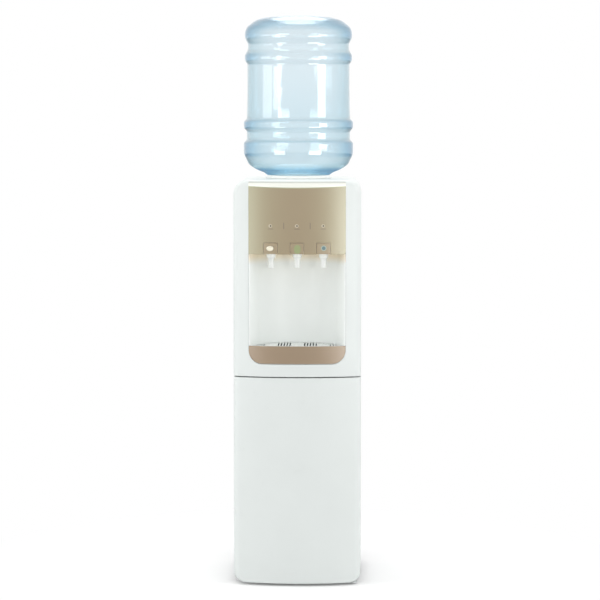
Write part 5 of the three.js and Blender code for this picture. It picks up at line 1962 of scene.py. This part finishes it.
@dataclass
class Door:
    """Door of the lower compartment, its hinges, and the compartment."""

    form: Form
    finishes: Finishes
    back: float = -0.116
    pin: Point = (0.141, -0.128)
    pin_hole: float = 0.0034
    pin_reach: float = 0.002

    def build_shell(self) -> None:
        """Outer shell: bowed, with rounded lower corners and softened edges."""
        form, bottom, top = self.form, self.form.door_bottom, self.form.door_top
        wall, corner, edge = form.wall, form.skirt_radius, form.edge_round
        rings = form.stack(
            bottom, top, self.back, low_corner=corner, low_round=edge * 1.4, high_round=edge
        )
        obj = Bench.loft("door_outer_shell", rings)
        back = self.back + form.overrun
        rings = form.stack(bottom + wall, top - wall, back, wall, low_corner=corner - wall)
        Bench.carve(obj, Bench.loft("room", rings))
        for level in (bottom, top - wall):
            ends = (level - self.pin_reach, level + wall + self.pin_reach)
            Bench.carve(obj, Bench.rod("hole", self.pin_hole, ends, 32, centre=self.pin))
        place_piece(obj, 38.0, self.finishes.body, "door", "body_white", "door_shell")

    def build_inside(self) -> None:
        """Door liner, gasket, hinges, compartment and shelf."""
        inner, coat, seal = self.finishes.inner, self.finishes.coat, self.finishes.gasket
        for node, name, material, slot, width, body in (
            ("door_liner", "door_inner_skin", inner, "liner_white", 0.0012, "door"),
            ("door_gasket", "door_seal", seal, "gasket_grey", 0.0028, "door"),
            ("compartment_liner", "compartment_tub", inner, "liner_white", 0.0012, "cabinet"),
            ("compartment_shelf", "compartment_tray", inner, "liner_white", 0.0009, "cabinet"),
            ("hinge_lower", "hinge_lower_plate", coat, "stainless", 0.0004, "cabinet"),
            ("hinge_upper", "hinge_upper_plate", coat, "stainless", 0.0004, "cabinet"),
        ):
            copy_piece(node, name, material, slot, width, body, segments=3)

    def build(self) -> None:
        """Builds every piece."""
        self.build_shell()
        self.build_inside()


@dataclass
class Plant:
    """Cooling and heating parts: compressor, condenser, pipes, tanks and hoses."""

    finishes: Finishes
    passes: int = 7
    grid_z: Point = (0.600, 0.888)
    grid_half: float = 0.100
    grid_y: float = 0.157
    bend_steps: int = 12
    tube_radius: float = 0.0026
    rail_x: float = 0.080
    rail_half: float = 0.004
    rail_back: float = 0.1503
    wires: int = 19
    wire_half: float = 0.09
    wire_radius: float = 0.0008
    wire_lap: float = 0.006
    shell_x: float = 0.020
    shell_y: float = 0.095
    shell_start: float = 0.02315
    shell_rise: float = 0.118
    shell_radius: float = 0.050
    seam_half: float = 0.0015
    shell_foot: tuple[Point, ...] = ((0.0, 0.0), (0.034, 0.0), (0.043, 0.002), (0.0486, 0.012))
    shell_low: float = 0.0492
    shell_high: float = 0.0488
    shell_dome: tuple[Point, ...] = (
        (0.0484, 0.74), (0.045, 0.87), (0.036, 0.955), (0.020, 0.992), (0.0, 1.0)
    )
    plate_z: Point = (0.0219, 0.0244)
    plate_half: Point = (0.054, 0.044)
    plate_round: float = 0.001
    mount_at: Point = (0.046, 0.036)
    mount: tuple[Point, ...] = ((0.008, 0.0), (0.008, 0.004), (0.0062, 0.0055), (0.008, 0.007))
    stub_at: float = 0.0125
    stub_height: float = 0.014
    stub_radius: float = 0.0032
    cover_x: float = 0.040
    cover_half: float = 0.014
    cover_z: Point = (0.058, 0.092)
    cover_round: float = 0.003

    def build_tubes(self) -> None:
        """Pipes and hoses, rounder than their CAD nodes."""
        copper, silicone = (self.finishes.copper, "copper"), (self.finishes.silicone, "silicone")
        nodes = {"discharge_pipe": copper, "suction_pipe": copper}
        nodes |= {f"hose_{way}": silicone for way in ("cold", "hot", "ambient", "feed")}
        for node, (material, slot) in (nodes | {"evaporator_coil": copper}).items():
            obj = Bench.copied(node, f"{node}_tube", 0.1)
            Bench.modified(obj, "SUBSURF", levels=1, render_levels=1)
            place_piece(obj, 70.0, material, "cabinet", slot, node)

    def serpentine(self) -> list[Place]:
        """Line of the condenser's tube, from its upper end down.

        Returns:
            The points of the line.
        """
        (bottom, top), y, half, steps = self.grid_z, self.grid_y, self.grid_half, self.bend_steps
        pitch = (top - bottom) / (self.passes - 1)
        line: list[Place] = []
        heading = -1
        for i in range(self.passes):
            z = top - i * pitch
            line += [(-heading * half, y, z), (heading * half, y, z)]
            if i < self.passes - 1:
                for t in (math.pi * k / steps for k in range(1, steps)):
                    x = heading * (half + pitch / 2 * math.sin(t))
                    line.append((x, y, z - pitch / 2 + pitch / 2 * math.cos(t)))
            heading = -heading
        return line

    def build_condenser(self) -> None:
        """Condenser: serpentine tube on two rails, with thin wires across it."""
        low, high = (corner.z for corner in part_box("condenser"))
        y, half, lap, wire = self.grid_y, self.rail_half, self.wire_lap, self.wire_radius
        bottom, top = self.grid_z
        parts = [Bench.tube("serpentine", self.serpentine(), self.tube_radius, 2)]
        for x in (-self.rail_x, self.rail_x):
            sides, depth = (x - half, x + half), (self.rail_back, y)
            parts.append(Bench.block("rail", sides, depth, (low, high), 0.0006))
        near = y + self.tube_radius + wire * 0.7
        for i in range(self.wires):
            x = -self.wire_half + 2 * self.wire_half * i / (self.wires - 1)
            ends = [(x, near, bottom - lap), (x, near, top + lap)]
            parts.append(Bench.tube("wire", ends, wire, 0))
        obj = Bench.joined("condenser_grid", parts)
        place_piece(obj, 40.0, self.finishes.enamel, "cabinet", "black_metal", "condenser")

    def build_compressor(self) -> None:
        """Compressor: welded shell on a plate with four rubber mounts."""
        low, high = (corner.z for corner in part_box("compressor"))
        x, y, start, rise = self.shell_x, self.shell_y, self.shell_start, self.shell_rise
        radius = self.shell_radius
        seam = start + rise * 0.46
        under, over, rest = seam - self.seam_half, seam + self.seam_half, self.plate_z[0] + 0.001
        profile = [(out, start + lift) for out, lift in self.shell_foot]
        profile += [(self.shell_low, under), (radius, under), (radius, over)]
        profile += [(self.shell_high, over)]
        profile += [(out, start + rise * share) for out, share in self.shell_dome]
        parts = [Bench.turned("shell", eased(profile, 0.004), 64, centre=(x, y))]
        (half_x, half_y), (out_x, out_y) = self.plate_half, self.mount_at
        sides, depth = (x - half_x, x + half_x), (y - half_y, y + half_y)
        parts.append(Bench.block("plate", sides, depth, self.plate_z, self.plate_round))
        mount = [(0.0, low)] + [(out, low + lift) for out, lift in self.mount]
        mount += [(mount[-1][0], rest), (0.0, rest)]
        for middle in ((x + dx, y + dy) for dx in (-out_x, out_x) for dy in (-out_y, out_y)):
            parts.append(Bench.turned("mount", mount, 24, centre=middle))
        for middle in ((x + dx, y) for dx in (-self.stub_at, self.stub_at)):
            ends = (high - self.stub_height, high)
            stub = Bench.rod("stub", self.stub_radius, ends, 20, centre=middle, round_by=0.0004)
            parts.append(stub)
        sides, depth = (x - half_x, x - self.cover_x), (y - self.cover_half, y + self.cover_half)
        parts.append(Bench.block("cover", sides, depth, self.cover_z, self.cover_round))
        obj = Bench.joined("compressor_shell", parts)
        place_piece(obj, 36.0, self.finishes.enamel, "cabinet", "black_metal", "compressor")

    def build_rest(self) -> None:
        """Drier, control box, tanks and jackets."""
        finishes = self.finishes
        copy_piece("filter_drier", "filter_drier_body", finishes.copper, "copper", 0.0006)
        copy_piece("control_box", "control_box_case", finishes.grey, "grey_plastic", 0.002)
        dress(finishes.steel, "cold_tank", "hot_tank")
        dress(finishes.foam, "cold_tank_foam", "hot_tank_jacket")

    def build(self) -> None:
        """Builds every piece."""
        self.build_condenser()
        self.build_compressor()
        self.build_tubes()
        self.build_rest()


@dataclass
class RearFittings:
    """Switches, power inlet and drain at the back."""

    finishes: Finishes
    pins: tuple[Point, ...] = ((-0.007, -0.002), (0.007, -0.002), (0.0, 0.004))
    pin_half: Point = (0.0008, 0.0025)
    pin_sunk: Point = (0.015, 0.004)
    pin_round: float = 0.0003
    notches: int = 16
    notch_radius: float = 0.0011
    notch_circle: float = 0.0106
    cup_outer: float = 0.010
    cup_inner: float = 0.0063
    cup_floor: float = 0.1623
    cup_face: float = 0.0085
    cup_slope: float = 0.0015

    def build_inlet(self) -> None:
        """Three flat pins in the power inlet."""
        low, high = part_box("power_inlet")
        x, z = (low.x + high.x) / 2, (low.z + high.z) / 2
        (half_x, half_z), depth = self.pin_half, tuple(high.y - sunk for sunk in self.pin_sunk)
        pins = []
        for dx, dz in self.pins:
            sides, heights = (x + dx - half_x, x + dx + half_x), (z + dz - half_z, z + dz + half_z)
            pins.append(Bench.block("pin", sides, depth, heights, self.pin_round))
        obj = Bench.joined("power_inlet_pins", pins)
        place_piece(obj, 32.0, self.finishes.steel, "cabinet", "stainless")

    def build_drain_cap(self) -> None:
        """Drain cap: knurled cup that screws over the spout."""
        low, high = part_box("drain_cap")
        x, z = (low.x + high.x) / 2, (low.z + high.z) / 2
        outer, inner, floor = self.cup_outer, self.cup_inner, self.cup_floor
        circle = self.notch_circle
        profile = [(inner, low.y), (outer, low.y), (outer, high.y - self.cup_slope)]
        profile += [(self.cup_face, high.y), (0.0, high.y), (0.0, floor), (inner, floor)]
        obj = Bench.turned("drain_cap_cup", profile, 48, Axis.Y, (x, z))
        notches, ends = [], (low.y - 0.001, high.y - 0.002)
        for angle in (TURN * i / self.notches for i in range(self.notches)):
            centre = (x + circle * math.cos(angle), z + circle * math.sin(angle))
            notches.append(Bench.rod("notch", self.notch_radius, ends, 10, Axis.Y, centre))
        Bench.carve(obj, Bench.joined("notches", notches))
        place_piece(obj, 36.0, self.finishes.grey, "drain_plug", "grey_plastic", "drain_cap")

    def build(self) -> None:
        """Builds every piece."""
        black, white = self.finishes.black, self.finishes.nozzle
        for node, name, material, slot, width, body in (
            ("switch_plate", "switch_bezel", black, "black_plastic", 0.0006, "cabinet"),
            ("switch_hot", "rocker_hot", black, "black_plastic", 0.0006, "hot_rocker"),
            ("switch_cold", "rocker_cold", black, "black_plastic", 0.0006, "cold_rocker"),
            ("drain_spout", "drain_pipe", white, "body_white", 0.0004, "cabinet"),
            ("power_inlet", "power_inlet_socket", black, "black_plastic", 0.0008, "cabinet"),
        ):
            copy_piece(node, name, material, slot, width, body, flat=2.0)
        self.build_inlet()
        self.build_drain_cap()


# ---------------------------------------------------------------- studio


@dataclass
class Lamp:
    """A soft lamp that either lights the object or shows in its gloss."""

    name: str
    place: Place
    width: float
    height: float
    radiance: float
    mirrored: bool = False
    oval: bool = False
    aim: Place = (0.0, 0.0, 0.95)

    def build(self) -> None:
        """Adds the lamp, turned towards what it lights."""
        data = bpy.data.lights.new(self.name, "AREA")
        data.shape = "ELLIPSE" if self.oval else "RECTANGLE"
        data.size = self.width
        data.size_y = self.height
        share = math.pi / 4 if self.oval else 1.0
        data.energy = self.radiance * math.pi * self.width * self.height * share
        obj = bpy.data.objects.new(self.name, data)
        bpy.context.scene.collection.objects.link(obj)
        obj.location = self.place
        away = Vector(self.place) - Vector(self.aim)
        obj.rotation_euler = away.to_track_quat("Z", "Y").to_euler()
        obj.visible_camera = False
        obj.visible_glossy = self.mirrored
        obj.visible_diffuse = not self.mirrored


@dataclass
class Studio:
    """Pale floor, soft lamps, white surroundings and the camera."""

    floor_half: float = 9.0
    distance: float = 5.5
    tilt: float = 5.0
    look_height: float = 0.6912
    camera_x: float = 0.125
    look_x: float = 0.0072
    focal_pixels: float = 2200.0
    frame_pixels: float = 600.0
    sensor: float = 36.0
    ambient: float = 0.72
    floor_fade: Point = (0.25, 0.9)

    def build_floor(self) -> None:
        """Floor that looks white, keeps the object's shadow and bounces a plain grey."""
        Bench.clear()
        bpy.ops.mesh.primitive_plane_add(size=2 * self.floor_half, location=(0.0, 0.0, 0.0))
        floor = Bench.named("studio_floor")
        board = Board("studio_floor_paint")
        reach = (board.axis("X") ** 2.0 + board.axis("Y") ** 2.0) ** 0.5
        faint, white = (
            board.node("ShaderNodeEmission", sockets={"Color": WHITE, "Strength": strength})
            for strength in (0.1, 1.0)
        )
        pale, paint = (
            board.node("ShaderNodeBsdfDiffuse", sockets={"Color": (grey, grey, grey)})
            for grey in (0.92, 0.6)
        )
        near = board.node("ShaderNodeAddShader", sockets={0: pale, 1: faint})
        lit = board.mixed(reach.step(*self.floor_fade), near, white)
        floor.data.materials.append(board.close(board.mixed(board.seen_by("Camera"), paint, lit)))

    def build_world(self) -> None:
        """White surroundings to the eye, softer where they light the object."""
        board = Board("studio_white", world=True)
        soft, white = (
            board.node("ShaderNodeBackground", sockets={"Color": WHITE, "Strength": strength})
            for strength in (self.ambient, 1.0)
        )
        seen = board.seen_by("Camera", "Glossy", "Transmission")
        bpy.context.scene.world = board.close(board.mixed(seen, soft, white))

    def build_lamps(self) -> None:
        """Soft lamps round the object, then the lights and panels that its gloss shows."""
        for lamp in (
            Lamp("lamp_key", (1.5, -3.9, 1.05), 0.4, 0.4, 38.0),
            Lamp("lamp_fill", (-0.6, -4.2, 1.0), 2.5, 1.6, 1.4),
            Lamp("lamp_right", (2.6, -0.62, 0.9), 1.2, 1.8, 3.0),
            Lamp("lamp_left", (-2.6, -0.62, 0.9), 1.2, 1.8, 3.7),
            Lamp("lamp_above", (0.0, 0.15, 3.0), 2.0, 1.6, 2.3),
            Lamp("gloss_right", (1.92, -1.425, 1.2), 0.75, 0.34, 4.0, True, aim=(0, 0, 1.2)),
            Lamp("gloss_left", (-1.54, -1.83, 1.34), 0.5, 0.125, 2.6, True, True, (0, 0, 1.34)),
            Lamp("gloss_side", (-2.28, -0.76, 1.27), 1.08, 0.2, 1.25, True, aim=(0, 0, 1.27)),
            Lamp("gloss_low_right", (1.41, -1.94, 0.66), 1.1, 0.7, 5.2, True, aim=(0, 0, 0.66)),
            Lamp("gloss_low_left", (-1.48, -1.89, 0.66), 1.0, 0.7, 3.1, True, aim=(0, 0, 0.66)),
            Lamp("gloss_behind", (0.0, 1.55, 3.85), 1.8, 2.9, 3.2, True, True, (0, 0, 1.39)),
        ):
            lamp.build()

    def build_camera(self) -> None:
        """Camera at the photograph's distance, height and field of view."""
        data = bpy.data.cameras.new("studio_camera")
        data.sensor_width = self.sensor
        data.lens = self.focal_pixels / self.frame_pixels * self.sensor
        data.clip_start, data.clip_end = 0.05, 60.0
        camera = bpy.data.objects.new("studio_camera", data)
        bpy.context.scene.collection.objects.link(camera)
        tilt = math.radians(self.tilt)
        back = self.distance * math.cos(tilt)
        rise = self.distance * math.sin(tilt)
        camera.location = (self.camera_x, -back, self.look_height + rise)
        turn = math.atan2(self.camera_x - self.look_x, back - Form.half)
        camera.rotation_euler = (QUARTER - tilt, 0.0, turn)
        bpy.context.scene.camera = camera

    def build(self) -> None:
        """Sets the whole scene round the object."""
        self.build_camera()
        self.build_floor()
        self.build_world()
        self.build_lamps()
        bpy.context.scene.view_settings.view_transform = "Standard"


def main() -> None:
    """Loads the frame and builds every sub-assembly round it."""
    logging.basicConfig(level=logging.INFO, format="%(message)s")
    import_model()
    Studio().build()
    form, window, finishes = Form(), Window(), Finishes()
    for assembly in (
        Cabinet(form, window, finishes),
        ControlHead(form, window, finishes),
        Alcove(form, window, finishes),
        Bottle(finishes),
        Door(form, finishes),
        Plant(finishes),
        RearFittings(finishes),
    ):
        assembly.build()
    Bench.clear()


if __name__ == "__main__":
    main()
